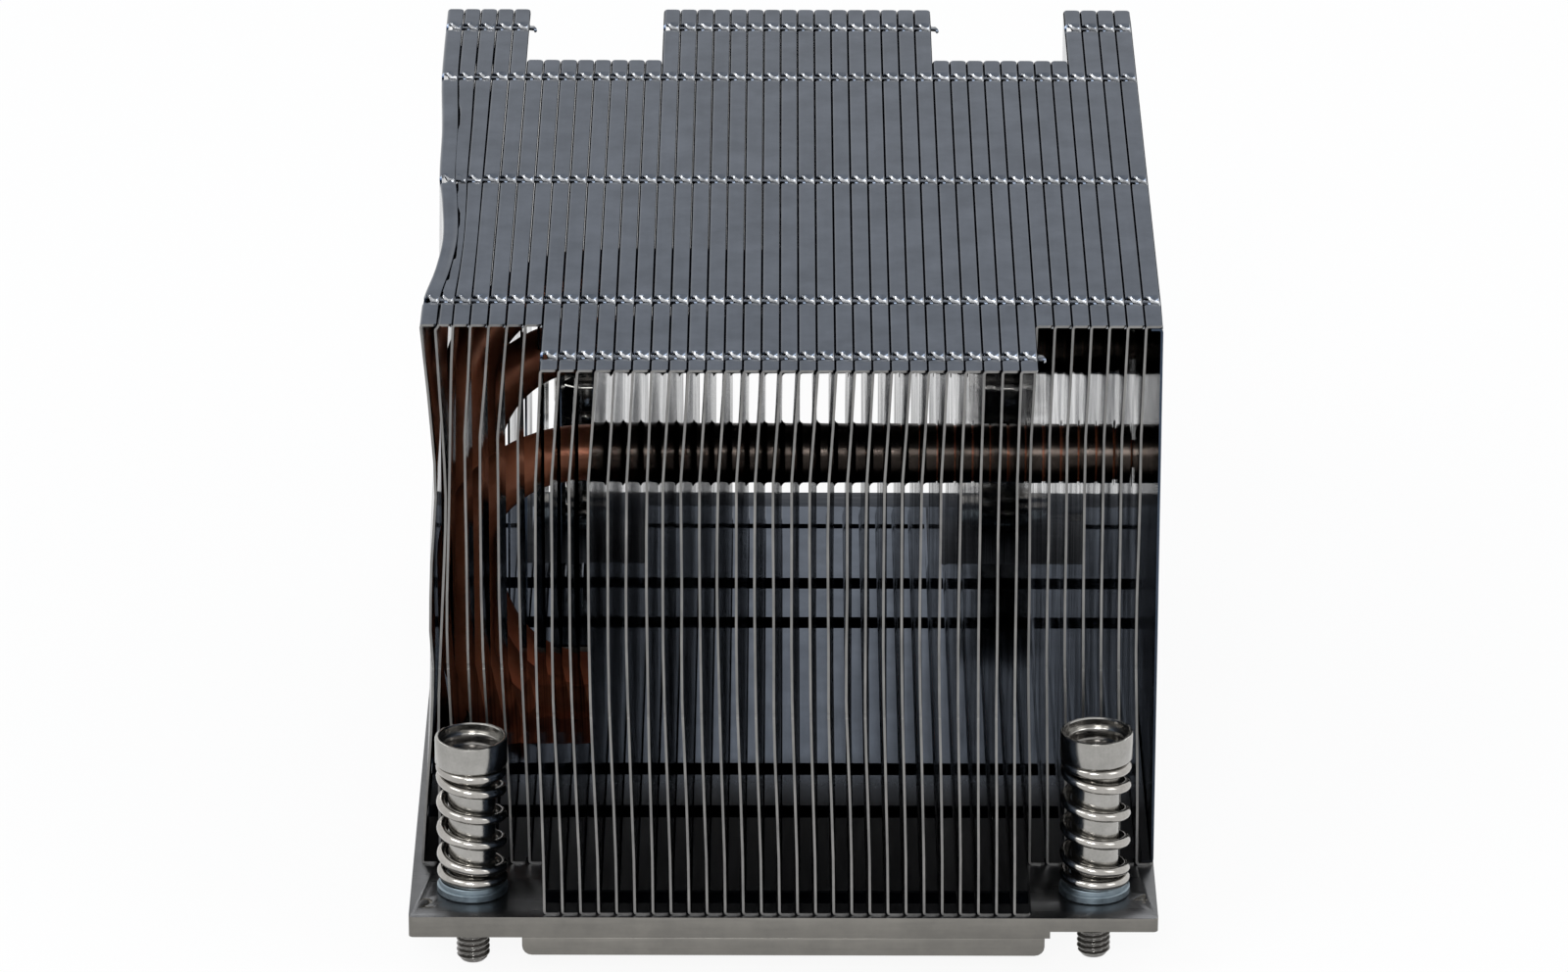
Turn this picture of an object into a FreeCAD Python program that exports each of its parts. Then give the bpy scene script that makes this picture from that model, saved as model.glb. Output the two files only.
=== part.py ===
# Passive server CPU heatsink: a stack of folded fins on a base plate, cooled through
# three U-bent heat pipes, and held down by four captive spring screws.
#
# Frame: origin at the middle of the contact face under the block, +Z up,
# +Y towards the rear end of the fin channels, +X to the right. Millimetres.
import FreeCAD, Part
import math
import os

import Sketcher

from FreeCAD import Placement, Rotation, Vector

doc = FreeCAD.newDocument("cpu_heatsink")
nodes = {}

# ------------------------------------------------------------------ driving dimensions
DIMENSIONS = [
    # base plate and contact block
    ("plate_width", 76.7),
    ("plate_front", -49.5),
    ("plate_rear", 68.0),
    ("plate_underside", 2.0),
    ("plate_top", 4.25),
    ("plate_bevel", 0.3),
    ("milled_from", 27.3),
    ("milled_depth", 0.75),
    ("block_width", 53.5),
    ("block_length", 99.0),
    ("block_edge_radius", 1.0),
    ("window_left", -32.2),
    ("window_right", 25.0),
    ("window_front", -5.0),
    ("window_rear", 22.2),
    ("screw_hole_radius", 2.7),
    # fins
    ("fin_count", 41),
    ("fin_pitch", 1.85),
    ("fin_sheet", 0.3),
    ("fin_seam", 0.1),
    ("stack_shift", 0.4),
    ("fin_top", 64.0),
    ("fin_bend", 0.4),
    ("fin_front", -48.9),
    ("fin_rear", 63.1),
    ("front_step", 12.8),
    ("rear_step", 17.2),
    ("front_corner_fins", 7),
    ("rear_corner_fins_left", 5),
    ("rear_corner_fins_right", 4),
    ("rear_notch_fins", 8),
    ("end_lip", 1.2),
    ("windowed_fins", 10),
    # heat pipes
    ("pipe_radius", 3.0),
    ("pipe_bend_radius", 13.0),
    ("pipe_leg_x", -33.8),
    ("pipe_end_x", 37.1),
    ("pipe_foot_end_x", 24.4),
    ("pipe_flat_height", 2.5),
    ("pipe_foot_spacing", 9.0),
    ("pipe_middle_y", 8.6),
    ("pipe_outer_spacing", 16.0),
    ("pipe_outer_z", 38.8),
    ("pipe_middle_z", 52.5),
    ("bore_clearance", 0.05),
    # captive screws
    ("front_screw_x", 32.0),
    ("front_screw_y", -42.5),
    ("rear_screw_x", 22.2),
    ("rear_screw_y", 60.0),
    ("washer_radius", 3.65),
    ("washer_hole_radius", 2.65),
    ("washer_height", 1.3),
    ("spring_radius", 3.65),
    ("spring_wire", 1.05),
    ("spring_length", 12.9),
    ("spring_turns", 5.5),
    ("head_radius", 3.72),
    ("head_height", 3.0),
    ("cup_radius", 3.3),
    ("cup_depth", 2.1),
    ("shoulder_radius", 2.45),
    ("stud_radius", 1.72),
    ("stud_tip", -3.5),
    ("neck_radius", 1.45),
    ("neck_length", 0.9),
    ("retainer_radius", 3.5),
    ("retainer_height", 0.6),
    ("retainer_play", 0.05),
    # dent in the left side
    ("dent_top", 1.7),
    ("dent_front", 1.6),
    ("dent_start", -28.8),
    ("dent_end", 7.4),
    ("bow_low", 19.0),
    ("bow_high", 45.0),
]

dims = doc.addObject("Spreadsheet::Sheet", "dims")
for row, (alias, number) in enumerate(DIMENSIONS, start=1):
    dims.set("A%d" % row, alias)
    dims.set("B%d" % row, str(number))
    dims.setAlias("B%d" % row, alias)
spare = doc.addObject("Spreadsheet::Sheet", "spare")
doc.recompute()


def size(alias):
    """A driving dimension, read from the sheet."""
    return float(getattr(dims, alias))


# ------------------------------------------------------------------ sketch helpers
def level_plane(body):
    """The body's own horizontal plane."""
    return [feature for feature in body.Origin.OriginFeatures if feature.Role == "XY_Plane"][0]


def new_body(label):
    body = doc.addObject("PartDesign::Body", label)
    body.Label = label
    nodes[label] = body
    return body


def body_sketch(body, name, height=None):
    """A sketch on the body's horizontal plane, raised by an expression if one is given."""
    sketch = body.newObject("Sketcher::SketchObject", name)
    sketch.AttachmentSupport = (level_plane(body), [""])
    sketch.MapMode = "FlatFace"
    if height is not None:
        sketch.setExpression("AttachmentOffset.Base.z", height)
    return sketch


def bound(sketch, kind, geometry, point, expression):
    """Ties one coordinate of a sketch point to an expression on the sheet."""
    row = sketch.addConstraint(Sketcher.Constraint(kind, -1, 1, geometry, point, evaluate(expression)))
    sketch.setExpression("Constraints[%d]" % row, expression)


def evaluate(expression):
    """What an expression on the sheet comes to, worked out in a spare cell."""
    spare.set("A1", "=" + expression)
    spare.recompute()
    return float(spare.get("A1"))


def draw_outline(sketch, corners):
    """A closed outline of straight edges; each corner is a pair of expressions."""
    places = [Vector(evaluate(x), evaluate(y), 0) for x, y in corners]
    count = len(places)
    for i in range(count):
        sketch.addGeometry(Part.LineSegment(places[i], places[(i + 1) % count]))
    for i in range(count):
        sketch.addConstraint(Sketcher.Constraint("Coincident", i, 2, (i + 1) % count, 1))
    for i, (x, y) in enumerate(corners):
        bound(sketch, "DistanceX", i, 1, x)
        bound(sketch, "DistanceY", i, 1, y)
    return sketch


def draw_rectangle(sketch, left, right, low, high):
    return draw_outline(sketch, [(left, low), (right, low), (right, high), (left, high)])


def pad(body, sketch, length, name):
    feature = body.newObject("PartDesign::Pad", name)
    feature.Profile = sketch
    feature.setExpression("Length", length)
    doc.recompute()
    return feature


def pocket(body, sketch, length, name, reversed_way=False):
    """A cut out of the body; it has to take material away."""
    before = body.Shape.Volume
    feature = body.newObject("PartDesign::Pocket", name)
    feature.Profile = sketch
    feature.Reversed = reversed_way
    feature.setExpression("Length", length)
    doc.recompute()
    if body.Shape.Volume >= before - 1e-6:
        raise RuntimeError("%s cuts nothing" % name)
    return feature


def body_prism(body, kind, name, sides, radius, height, x="0", y="0", z="0"):
    """A many-sided prism added to a body or taken from it, standing on the given place."""
    before = body.Shape.Volume if body.Tip else 0.0
    prism = body.newObject("PartDesign::%sPrism" % kind, name)
    prism.Polygon = sides
    prism.setExpression("Circumradius", radius)
    prism.setExpression("Height", height)
    prism.AttachmentSupport = (level_plane(body), [""])
    prism.MapMode = "FlatFace"
    prism.setExpression("AttachmentOffset.Base.x", x)
    prism.setExpression("AttachmentOffset.Base.y", y)
    prism.setExpression("AttachmentOffset.Base.z", z)
    doc.recompute()
    if abs(body.Shape.Volume - before) < 1e-6:
        raise RuntimeError("%s changes nothing" % name)
    return prism


def faceted_solid(rings):
    """A closed solid of flat facets between rings of corners, capped at both ends."""
    faces = []
    for cap in (rings[0], rings[-1]):
        faces.append(Part.Face(Part.makePolygon(cap + [cap[0]])))
    for near, far in zip(rings, rings[1:]):
        for i in range(len(near)):
            j = (i + 1) % len(near)
            faces.append(Part.Face(Part.makePolygon([near[i], near[j], far[j], near[i]])))
            faces.append(Part.Face(Part.makePolygon([near[i], far[j], far[i], near[i]])))
    solid = Part.Solid(Part.Shell(faces))
    if solid.Volume < 0:
        solid.reverse()
    return solid


# Round pieces that repeat are drawn with this many flat sides, to keep the part light.
HOLE_SIDES = 12
TURNED_SIDES = 18
NECK_SIDES = 6
WASHER_SIDES = 16
PIPE_SIDES = 12
BEND_STEPS = 5
WIRE_SIDES = 5
CHORDS_PER_TURN = 12

# Where the four screws stand, as expressions.
SCREW_PLACES = {
    "front_left": ("-dims.front_screw_x", "dims.front_screw_y"),
    "front_right": ("dims.front_screw_x", "dims.front_screw_y"),
    "rear_left": ("-dims.rear_screw_x", "dims.rear_screw_y"),
    "rear_right": ("dims.rear_screw_x", "dims.rear_screw_y"),
}


# ------------------------------------------------------------------ base plate
# One machined plate: a long window takes the flattened feet of the heat pipes, the
# underside is milled thinner along the right edge, and four holes guide the screws.
def base_plate():
    body = new_body("base_plate")
    outline = draw_rectangle(
        body_sketch(body, "plate_outline", height="dims.plate_underside"),
        "-dims.plate_width / 2",
        "dims.plate_width / 2",
        "dims.plate_front",
        "dims.plate_rear",
    )
    slab = pad(body, outline, "dims.plate_top - dims.plate_underside", "plate_slab")

    top_edges = []
    for i, edge in enumerate(slab.Shape.Edges, start=1):
        if edge.BoundBox.ZMin > size("plate_top") - 0.01:
            top_edges.append("Edge%d" % i)
    bevel = body.newObject("PartDesign::Chamfer", "plate_bevel")
    bevel.Base = (slab, top_edges)
    bevel.setExpression("Size", "dims.plate_bevel")
    doc.recompute()

    milled = draw_rectangle(
        body_sketch(body, "milled_edge", height="dims.plate_underside"),
        "dims.milled_from",
        "dims.plate_width / 2 + 1",
        "dims.plate_front - 1",
        "dims.plate_rear + 1",
    )
    pocket(body, milled, "dims.milled_depth", "milled_step", reversed_way=True)

    window = draw_rectangle(
        body_sketch(body, "pipe_window", height="dims.plate_top"),
        "dims.window_left",
        "dims.window_right",
        "dims.window_front",
        "dims.window_rear",
    )
    pocket(body, window, "dims.plate_top - dims.plate_underside", "pipe_window_cut")

    for place, (x, y) in SCREW_PLACES.items():
        body_prism(
            body,
            "Subtractive",
            "screw_hole_" + place,
            HOLE_SIDES,
            "dims.screw_hole_radius",
            "dims.plate_top - dims.plate_underside + 2",
            x,
            y,
            "dims.plate_underside - 1",
        )


# ------------------------------------------------------------------ contact block
# The block that touches the processor: rounded lower long edges, and a shallow bed
# in its top that carries the pipe feet.
def contact_block():
    body = new_body("contact_block")
    outline = draw_rectangle(
        body_sketch(body, "block_outline"),
        "-dims.block_width / 2",
        "dims.block_width / 2",
        "-dims.block_length / 2",
        "dims.block_length / 2",
    )
    slab = pad(body, outline, "dims.plate_underside", "block_slab")

    long_edges = []
    for i, edge in enumerate(slab.Shape.Edges, start=1):
        box = edge.BoundBox
        if box.ZMax < 0.01 and box.YLength > 1:
            long_edges.append("Edge%d" % i)
    rounding = body.newObject("PartDesign::Fillet", "block_edges")
    rounding.Base = (slab, long_edges)
    rounding.setExpression("Radius", "dims.block_edge_radius")
    doc.recompute()

    bed = draw_rectangle(
        body_sketch(body, "pipe_bed", height="dims.plate_underside"),
        "-dims.block_width / 2 - 1",
        "dims.window_right",
        "dims.window_front",
        "dims.window_rear",
    )
    pocket(
        body, bed, "dims.pipe_flat_height - (dims.plate_top - dims.plate_underside)", "pipe_bed_cut"
    )


# ------------------------------------------------------------------ heat pipes
def pipe_section(centre, across, upright, half_width, half_height):
    """A closed ring of PIPE_SIDES corners: round, or flattened with rounded sides."""
    corners = []
    straight = half_width - half_height
    for k in range(PIPE_SIDES):
        angle = 2 * math.pi * (k + 0.5) / PIPE_SIDES
        side = math.copysign(straight, math.cos(angle))
        step = across * (half_height * math.cos(angle) + side)
        corners.append(centre + step + upright * (half_height * math.sin(angle)))
    return corners


def heat_pipe(label, foot_y, leg_y, leg_z):
    """A tube lying in one tilted plane: flattened foot, bend, upright leg, bend, long leg."""
    radius = size("pipe_radius") - size("bore_clearance")
    flat_height = size("pipe_flat_height")
    # flattening keeps the tube's girth
    flat_width = flat_height + math.pi * (2 * radius - flat_height) / 2
    bend = size("pipe_bend_radius")
    foot_z = size("plate_top") - flat_height / 2

    foot = Vector(size("pipe_leg_x") + bend, foot_y, foot_z)
    rise = Vector(0, leg_y - foot_y, leg_z - foot_z)
    height = rise.Length
    up = rise.normalize()
    across = Vector(0, up.z, -up.y)
    right = Vector(1, 0, 0)

    rings = []

    def ring(point, side, upright, roundness):
        half_width = flat_width / 2 + (radius - flat_width / 2) * roundness
        half_height = flat_height / 2 + (radius - flat_height / 2) * roundness
        rings.append(pipe_section(point, side, upright, half_width, half_height))

    level = Vector(0, 1, 0)
    foot_end = Vector(size("pipe_foot_end_x"), foot_y, foot_z)
    ring(foot_end, level, Vector(0, 0, 1), 0)
    ring(foot, level, Vector(0, 0, 1), 0)
    # lower bend: the tube turns from the foot to the upright leg and swells to full round
    for step in range(1, BEND_STEPS + 1):
        angle = math.pi / 2 * step / BEND_STEPS
        centre = foot - right * bend * math.sin(angle) + up * bend * (1 - math.cos(angle))
        outward = up * math.cos(angle) + right * math.sin(angle)
        share = min(1.0, 1.5 * step / BEND_STEPS)
        ring(centre, (level * (1 - share) + across * share).normalize(), outward, share)
    # upper bend: from the upright leg to the long leg
    top = foot + up * height
    for step in range(BEND_STEPS + 1):
        angle = math.pi / 2 * step / BEND_STEPS
        centre = top - right * bend * math.cos(angle) - up * bend * (1 - math.sin(angle))
        outward = right * math.cos(angle) - up * math.sin(angle)
        ring(centre, across, outward, 1)
    ring(Vector(size("pipe_end_x"), leg_y, leg_z), across, up * -1, 1)

    pipe = doc.addObject("Part::Feature", label)
    pipe.Label = label
    pipe.Shape = faceted_solid(rings)
    nodes[label] = pipe


def heat_pipes():
    middle = size("pipe_middle_y")
    foot_step = size("pipe_foot_spacing")
    leg_step = size("pipe_outer_spacing")
    outer_z = size("pipe_outer_z")
    heat_pipe("pipe_front", middle - foot_step, middle - leg_step, outer_z)
    heat_pipe("pipe_middle", middle, middle, size("pipe_middle_z"))
    heat_pipe("pipe_rear", middle + foot_step, middle + leg_step, outer_z)


# ------------------------------------------------------------------ fins
# Each fin is one folded sheet: an upright wall with a flange turned to the right at
# its top and at its foot. The stack steps back at the four screws.
def fin_span(number):
    """First and last Y of a fin, as expressions: the corners make way for the screws."""
    count = int(size("fin_count"))
    corner = int(size("front_corner_fins"))
    left_group = int(size("rear_corner_fins_left"))
    right_group = int(size("rear_corner_fins_right"))
    notch = int(size("rear_notch_fins"))

    front = "dims.fin_front"
    if number <= corner or number > count - corner:
        front = "dims.fin_front + dims.front_step"
    rear = "dims.fin_rear"
    in_left_notch = left_group < number <= left_group + notch
    in_right_notch = count - right_group - notch < number <= count - right_group
    if in_left_notch or in_right_notch:
        rear = "dims.fin_rear - dims.rear_step"
    return front, rear


def fin_profile():
    """The folded section, seen from the front, with a bevelled bend at the top."""
    profile = doc.addObject("Sketcher::SketchObject", "fin_profile")
    profile.Placement = Placement(Vector(0, 0, 0), Rotation(Vector(1, 0, 0), 90))
    tip = "dims.fin_pitch - dims.fin_seam"
    wall = "dims.fin_sheet"
    return draw_outline(
        profile,
        [
            ("0", "dims.plate_top"),
            (tip, "dims.plate_top"),
            (tip, "dims.plate_top + dims.fin_sheet"),
            (wall, "dims.plate_top + dims.fin_sheet"),
            (wall, "dims.fin_top - dims.fin_sheet"),
            (tip, "dims.fin_top - dims.fin_sheet"),
            (tip, "dims.fin_top"),
            ("dims.fin_bend", "dims.fin_top"),
            ("0", "dims.fin_top - dims.fin_bend"),
        ],
    )


def end_profile():
    """The sheet that closes the stack: its lips turn left, inside the last fin's flanges."""
    profile = doc.addObject("Sketcher::SketchObject", "end_profile")
    profile.Placement = Placement(Vector(0, 0, 0), Rotation(Vector(1, 0, 0), 90))
    low = "dims.plate_top + dims.fin_sheet"
    high = "dims.fin_top - dims.fin_sheet"
    return draw_outline(
        profile,
        [
            ("-dims.end_lip", low),
            ("0", low),
            ("0", high),
            ("-dims.end_lip", high),
            ("-dims.end_lip", high + " - dims.fin_sheet"),
            ("-dims.fin_sheet", high + " - dims.fin_sheet"),
            ("-dims.fin_sheet", low + " + dims.fin_sheet"),
            ("-dims.end_lip", low + " + dims.fin_sheet"),
        ],
    )


def extrude_back(profile, name, left, front, rear):
    """The profile drawn out from the front Y to the rear Y."""
    sheet = doc.addObject("Part::Extrusion", name)
    sheet.Base = profile
    sheet.Dir = Vector(0, 1, 0)
    sheet.DirMode = "Custom"
    sheet.Solid = True
    sheet.setExpression("LengthFwd", "%s - (%s)" % (rear, front))
    sheet.setExpression("Placement.Base.x", left)
    sheet.setExpression("Placement.Base.y", front)
    return sheet


def pipe_bores():
    """Octagonal bores, just clear of the tubes, through every fin right of the bends."""
    bores = []
    across_flats = "(dims.pipe_radius / cos(22.5))"
    middle = "dims.pipe_middle_y"
    places = [
        ("bore_front", middle + " - dims.pipe_outer_spacing", "dims.pipe_outer_z"),
        ("bore_middle", middle, "dims.pipe_middle_z"),
        ("bore_rear", middle + " + dims.pipe_outer_spacing", "dims.pipe_outer_z"),
    ]
    for name, y, z in places:
        bore = doc.addObject("Part::Prism", name)
        bore.Polygon = 8
        bore.setExpression("Circumradius", across_flats)
        bore.setExpression("Height", "dims.plate_width")
        along_x = Rotation(Vector(0, 1, 0), 90) * Rotation(Vector(0, 0, 1), 22.5)
        bore.Placement = Placement(Vector(0, 0, 0), along_x)
        bore.setExpression("Placement.Base.x", "-dims.plate_width / 2")
        bore.setExpression("Placement.Base.y", y)
        bore.setExpression("Placement.Base.z", z)
        bores.append(bore)
    tool = doc.addObject("Part::MultiFuse", "pipe_bores")
    tool.Shapes = bores
    return tool


def bend_window():
    """The opening that the first fins share, round the pipe legs and bends."""
    outline = doc.addObject("Sketcher::SketchObject", "bend_window_outline")
    outline.Placement = Placement(Vector(0, 0, 0), Rotation(Vector(1, 1, 1), 120))
    room = "(dims.pipe_radius + 1)"
    front = "dims.pipe_middle_y - dims.pipe_outer_spacing - " + room
    rear = "dims.pipe_middle_y + dims.pipe_outer_spacing + " + room
    knee = "dims.pipe_outer_z - dims.pipe_radius - 1"
    shoulder = "dims.pipe_outer_z + " + room
    crown = "dims.pipe_middle_z + " + room
    below = "dims.plate_top - 1"
    draw_outline(
        outline,
        [
            ("dims.window_front", below),
            ("dims.window_rear", below),
            ("dims.window_rear", "dims.plate_top + 1"),
            (rear, knee),
            (rear, shoulder),
            ("dims.pipe_middle_y + " + room, shoulder),
            ("dims.pipe_middle_y + " + room, crown),
            ("dims.pipe_middle_y - " + room, crown),
            ("dims.pipe_middle_y - " + room, shoulder),
            (front, shoulder),
            (front, knee),
            ("dims.window_front", "dims.plate_top + 1"),
        ],
    )
    tool = doc.addObject("Part::Extrusion", "bend_window")
    tool.Base = outline
    tool.Dir = Vector(1, 0, 0)
    tool.DirMode = "Custom"
    tool.Solid = True
    tool.setExpression("LengthFwd", "dims.fin_pitch * (dims.windowed_fins + 1)")
    tool.setExpression("Placement.Base.x", "dims.stack_shift - dims.fin_pitch * dims.fin_count / 2")
    return tool


def cut_fin(label, sheet, tool):
    fin = doc.addObject("Part::Cut", label)
    fin.Label = label
    fin.Base = sheet
    fin.Tool = tool
    nodes[label] = fin


# The left side has taken a knock: the top edge is pushed in between two rows of
# interlocks, the front edge is bowed, and the next two sheets gave way with it.
# Shares of the full dent for each sheet: front bow, top corner, flange tip.
DENTED = {1: (1.0, 1.0, 1.0), 2: (0.55, 1.0, 0.3), 3: (0.2, 0.3, 0.0)}


def dented_sheet(number):
    """The folded section, displaced station by station, as a closed shell of flat facets."""
    bow_share, corner_share, tip_share = DENTED[number]
    left = size("stack_shift") + size("fin_pitch") * (number - 1 - size("fin_count") / 2)
    tip = left + size("fin_pitch") - size("fin_seam")
    wall = left + size("fin_sheet")
    bend = size("fin_bend")
    low, high = size("plate_top"), size("fin_top")
    thick = size("fin_sheet")
    front = size("fin_front") + size("front_step")
    start, end = size("dent_start"), size("dent_end")
    knocked = [start + (end - start) / 3 * k for k in range(4)]
    bow_low, bow_high = size("bow_low"), size("bow_high")

    sections = []
    for y in [front] + knocked + [size("fin_rear")]:
        pushed = 0.0
        if start < y < end:
            pushed = size("dent_top") * math.sin(math.pi * (y - start) / (end - start))
        fade = max(0.0, 1 - (y - front) / (end - front) * 1.4)
        bow = size("dent_front") * bow_share * fade
        upper_bow = bow + 0.25 * pushed * bow_share
        corner = corner_share * pushed
        outer = [
            (left, low),
            (tip, low),
            (tip, low + thick),
            (wall, low + thick),
            (wall + bow, bow_low),
            (wall + upper_bow, bow_high),
            (wall + corner, high - thick),
            (tip + tip_share * pushed, high - thick),
            (tip + tip_share * pushed, high),
            (left + bend + corner, high),
            (left + corner, high - bend),
            (left + upper_bow, bow_high),
            (left + bow, bow_low),
        ]
        sections.append([Vector(x, y, z) for x, z in outer])

    return faceted_solid(sections)


def fin_stack():
    profile = fin_profile()
    bores = pipe_bores()
    window = bend_window()
    doc.recompute()
    count = int(size("fin_count"))
    for number in range(1, count + 1):
        label = "fin_%02d" % number
        if number in DENTED:
            sheet = dented_sheet(number)
            fin = doc.addObject("Part::Feature", label)
            fin.Label = label
            fin.Shape = sheet if number == 1 else sheet.cut(window.Shape)
            nodes[label] = fin
            continue
        front, rear = fin_span(number)
        left = "dims.stack_shift + dims.fin_pitch * (%d - dims.fin_count / 2)" % (number - 1)
        sheet = extrude_back(profile, "sheet_%02d" % number, left, front, rear)
        cut_fin(label, sheet, window if number <= size("windowed_fins") else bores)

    front, rear = fin_span(count)
    right = "dims.stack_shift + dims.fin_pitch * dims.fin_count / 2"
    end = extrude_back(end_profile(), "end_fin", right, front, rear)
    end.Label = "end_fin"
    nodes["end_fin"] = end


# ------------------------------------------------------------------ captive screws
# A cup-headed screw slides in its plate hole against a coil spring. The spring stands
# on a washer; a push-on retainer below the plate keeps the screw from coming out.
def screw_lift(place):
    """The screw over the milled edge of the plate stands higher by what was milled off."""
    return "dims.milled_depth" if place == "front_right" else "0"


def captive_screw(place):
    """Stud, neck for the retainer, shoulder and cup head, from the tip up."""
    body = new_body("screw_" + place)
    under_head = "(dims.plate_top + dims.washer_height + dims.spring_length)"
    tip = "dims.stud_tip - " + under_head
    neck_foot = "dims.plate_underside - dims.neck_length - " + under_head
    neck_top = "dims.plate_underside - " + under_head

    stud = body.newObject("PartDesign::AdditiveCylinder", "stud_" + place)
    stud.AttachmentSupport = (level_plane(body), [""])
    stud.MapMode = "FlatFace"
    stud.setExpression("Radius", "dims.stud_radius")
    stud.setExpression("Height", "dims.plate_underside - dims.neck_length - dims.stud_tip")
    stud.setExpression("AttachmentOffset.Base.z", tip)
    doc.recompute()

    steps = [
        ("Additive", "neck_", NECK_SIDES, "dims.neck_radius", "dims.neck_length", neck_foot),
        ("Additive", "shoulder_", TURNED_SIDES, "dims.shoulder_radius", "-(%s)" % neck_top, neck_top),
        ("Additive", "head_", TURNED_SIDES, "dims.head_radius", "dims.head_height", "0"),
        (
            "Subtractive",
            "cup_",
            TURNED_SIDES,
            "dims.cup_radius",
            "dims.cup_depth + 1",
            "dims.head_height - dims.cup_depth",
        ),
    ]
    for kind, step, sides, radius, height, foot in steps:
        body_prism(body, kind, step + place, sides, radius, height, z=foot)

    x, y = SCREW_PLACES[place]
    body.setExpression("Placement.Base.x", x)
    body.setExpression("Placement.Base.y", y)
    body.setExpression("Placement.Base.z", "%s + %s" % (under_head, screw_lift(place)))


def washers():
    rings = []
    for place, (x, y) in SCREW_PLACES.items():
        disc = doc.addObject("Part::Prism", "washer_disc_" + place)
        disc.setExpression("Circumradius", "dims.washer_radius")
        hole = doc.addObject("Part::Prism", "washer_hole_" + place)
        hole.setExpression("Circumradius", "dims.washer_hole_radius")
        for part in (disc, hole):
            part.Polygon = WASHER_SIDES
            part.setExpression("Height", "dims.washer_height")
        ring = doc.addObject("Part::Cut", "washer_" + place)
        ring.Base = disc
        ring.Tool = hole
        ring.setExpression("Placement.Base.x", x)
        ring.setExpression("Placement.Base.y", y)
        ring.setExpression("Placement.Base.z", "dims.plate_top")
        rings.append(ring)
    group = doc.addObject("Part::Compound", "washers")
    group.Label = "washers"
    group.Links = rings
    nodes["washers"] = group


def retainer(place):
    plate = doc.addObject("Part::Prism", "retainer_plate_" + place)
    plate.setExpression("Circumradius", "dims.retainer_radius")
    hole = doc.addObject("Part::Prism", "retainer_hole_" + place)
    hole.setExpression("Circumradius", "(dims.neck_radius + dims.retainer_play) / cos(30)")
    for part in (plate, hole):
        part.Polygon = NECK_SIDES
        part.setExpression("Height", "dims.retainer_height")
    ring = doc.addObject("Part::Cut", "retainer_" + place)
    ring.Label = "retainer_" + place
    ring.Base = plate
    ring.Tool = hole
    x, y = SCREW_PLACES[place]
    below = "dims.plate_underside - dims.retainer_play - dims.retainer_height"
    ring.setExpression("Placement.Base.x", x)
    ring.setExpression("Placement.Base.y", y)
    ring.setExpression("Placement.Base.z", "%s + %s" % (below, screw_lift(place)))
    nodes["retainer_" + place] = ring


def coil_spring(place):
    """A left-hand coil with closed ends, drawn as straight chords of five-sided wire."""
    wire = size("spring_wire")
    turns = size("spring_turns")
    length = size("spring_length") + evaluate(screw_lift(place))
    mean_radius = size("spring_radius") - wire / 2
    open_turns = turns - 2
    pitch = (length - 3 * wire) / open_turns

    rings = []
    for step in range(int(turns * CHORDS_PER_TURN) + 1):
        turn = step / CHORDS_PER_TURN
        rise = wire * min(turn, 1)
        rise += pitch * min(max(turn - 1, 0), open_turns)
        rise += wire * max(turn - 1 - open_turns, 0)
        angle = -2 * math.pi * turn
        outward = Vector(math.cos(angle), math.sin(angle), 0)
        corners = []
        for k in range(WIRE_SIDES):
            corner = 2 * math.pi * (k + 0.5) / WIRE_SIDES
            reach = mean_radius + wire / 2 * math.cos(corner)
            height = wire / 2 + rise + wire / 2 * math.sin(corner)
            corners.append(outward * reach + Vector(0, 0, height))
        rings.append(corners)

    spring = doc.addObject("Part::Feature", "spring_" + place)
    spring.Label = "spring_" + place
    spring.Shape = faceted_solid(rings)
    x, y = SCREW_PLACES[place]
    spring.Placement = Placement(
        Vector(evaluate(x), evaluate(y), size("plate_top") + size("washer_height")), Rotation()
    )
    nodes["spring_" + place] = spring


# ------------------------------------------------------------------ assembly
base_plate()
contact_block()
heat_pipes()
fin_stack()
washers()
for place in SCREW_PLACES:
    coil_spring(place)
    captive_screw(place)
    retainer(place)
doc.recompute()

for item in doc.Objects:
    if "Invalid" in item.State or "Error" in item.State:
        raise RuntimeError("%s failed: %s" % (item.Label, item.State))
for label, item in nodes.items():
    if item.Shape.isNull() or not item.Shape.isValid():
        raise RuntimeError("%s has no valid shape" % label)

os.makedirs("parts", exist_ok=True)
for label, item in nodes.items():
    item.Shape.exportStep(os.path.join("parts", label + ".step"))
print(len(nodes), "nodes written")
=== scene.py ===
# Passive server CPU heatsink: forty-one folded fins soldered to a machined plate over
# three heat pipes, with a captive spring screw at each corner. It is dressed here round
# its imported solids, in the order in which the real one is put together.
import math
import random

import bmesh
import bpy
from mathutils import Matrix, Vector
from mathutils.geometry import delaunay_2d_cdt


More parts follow.
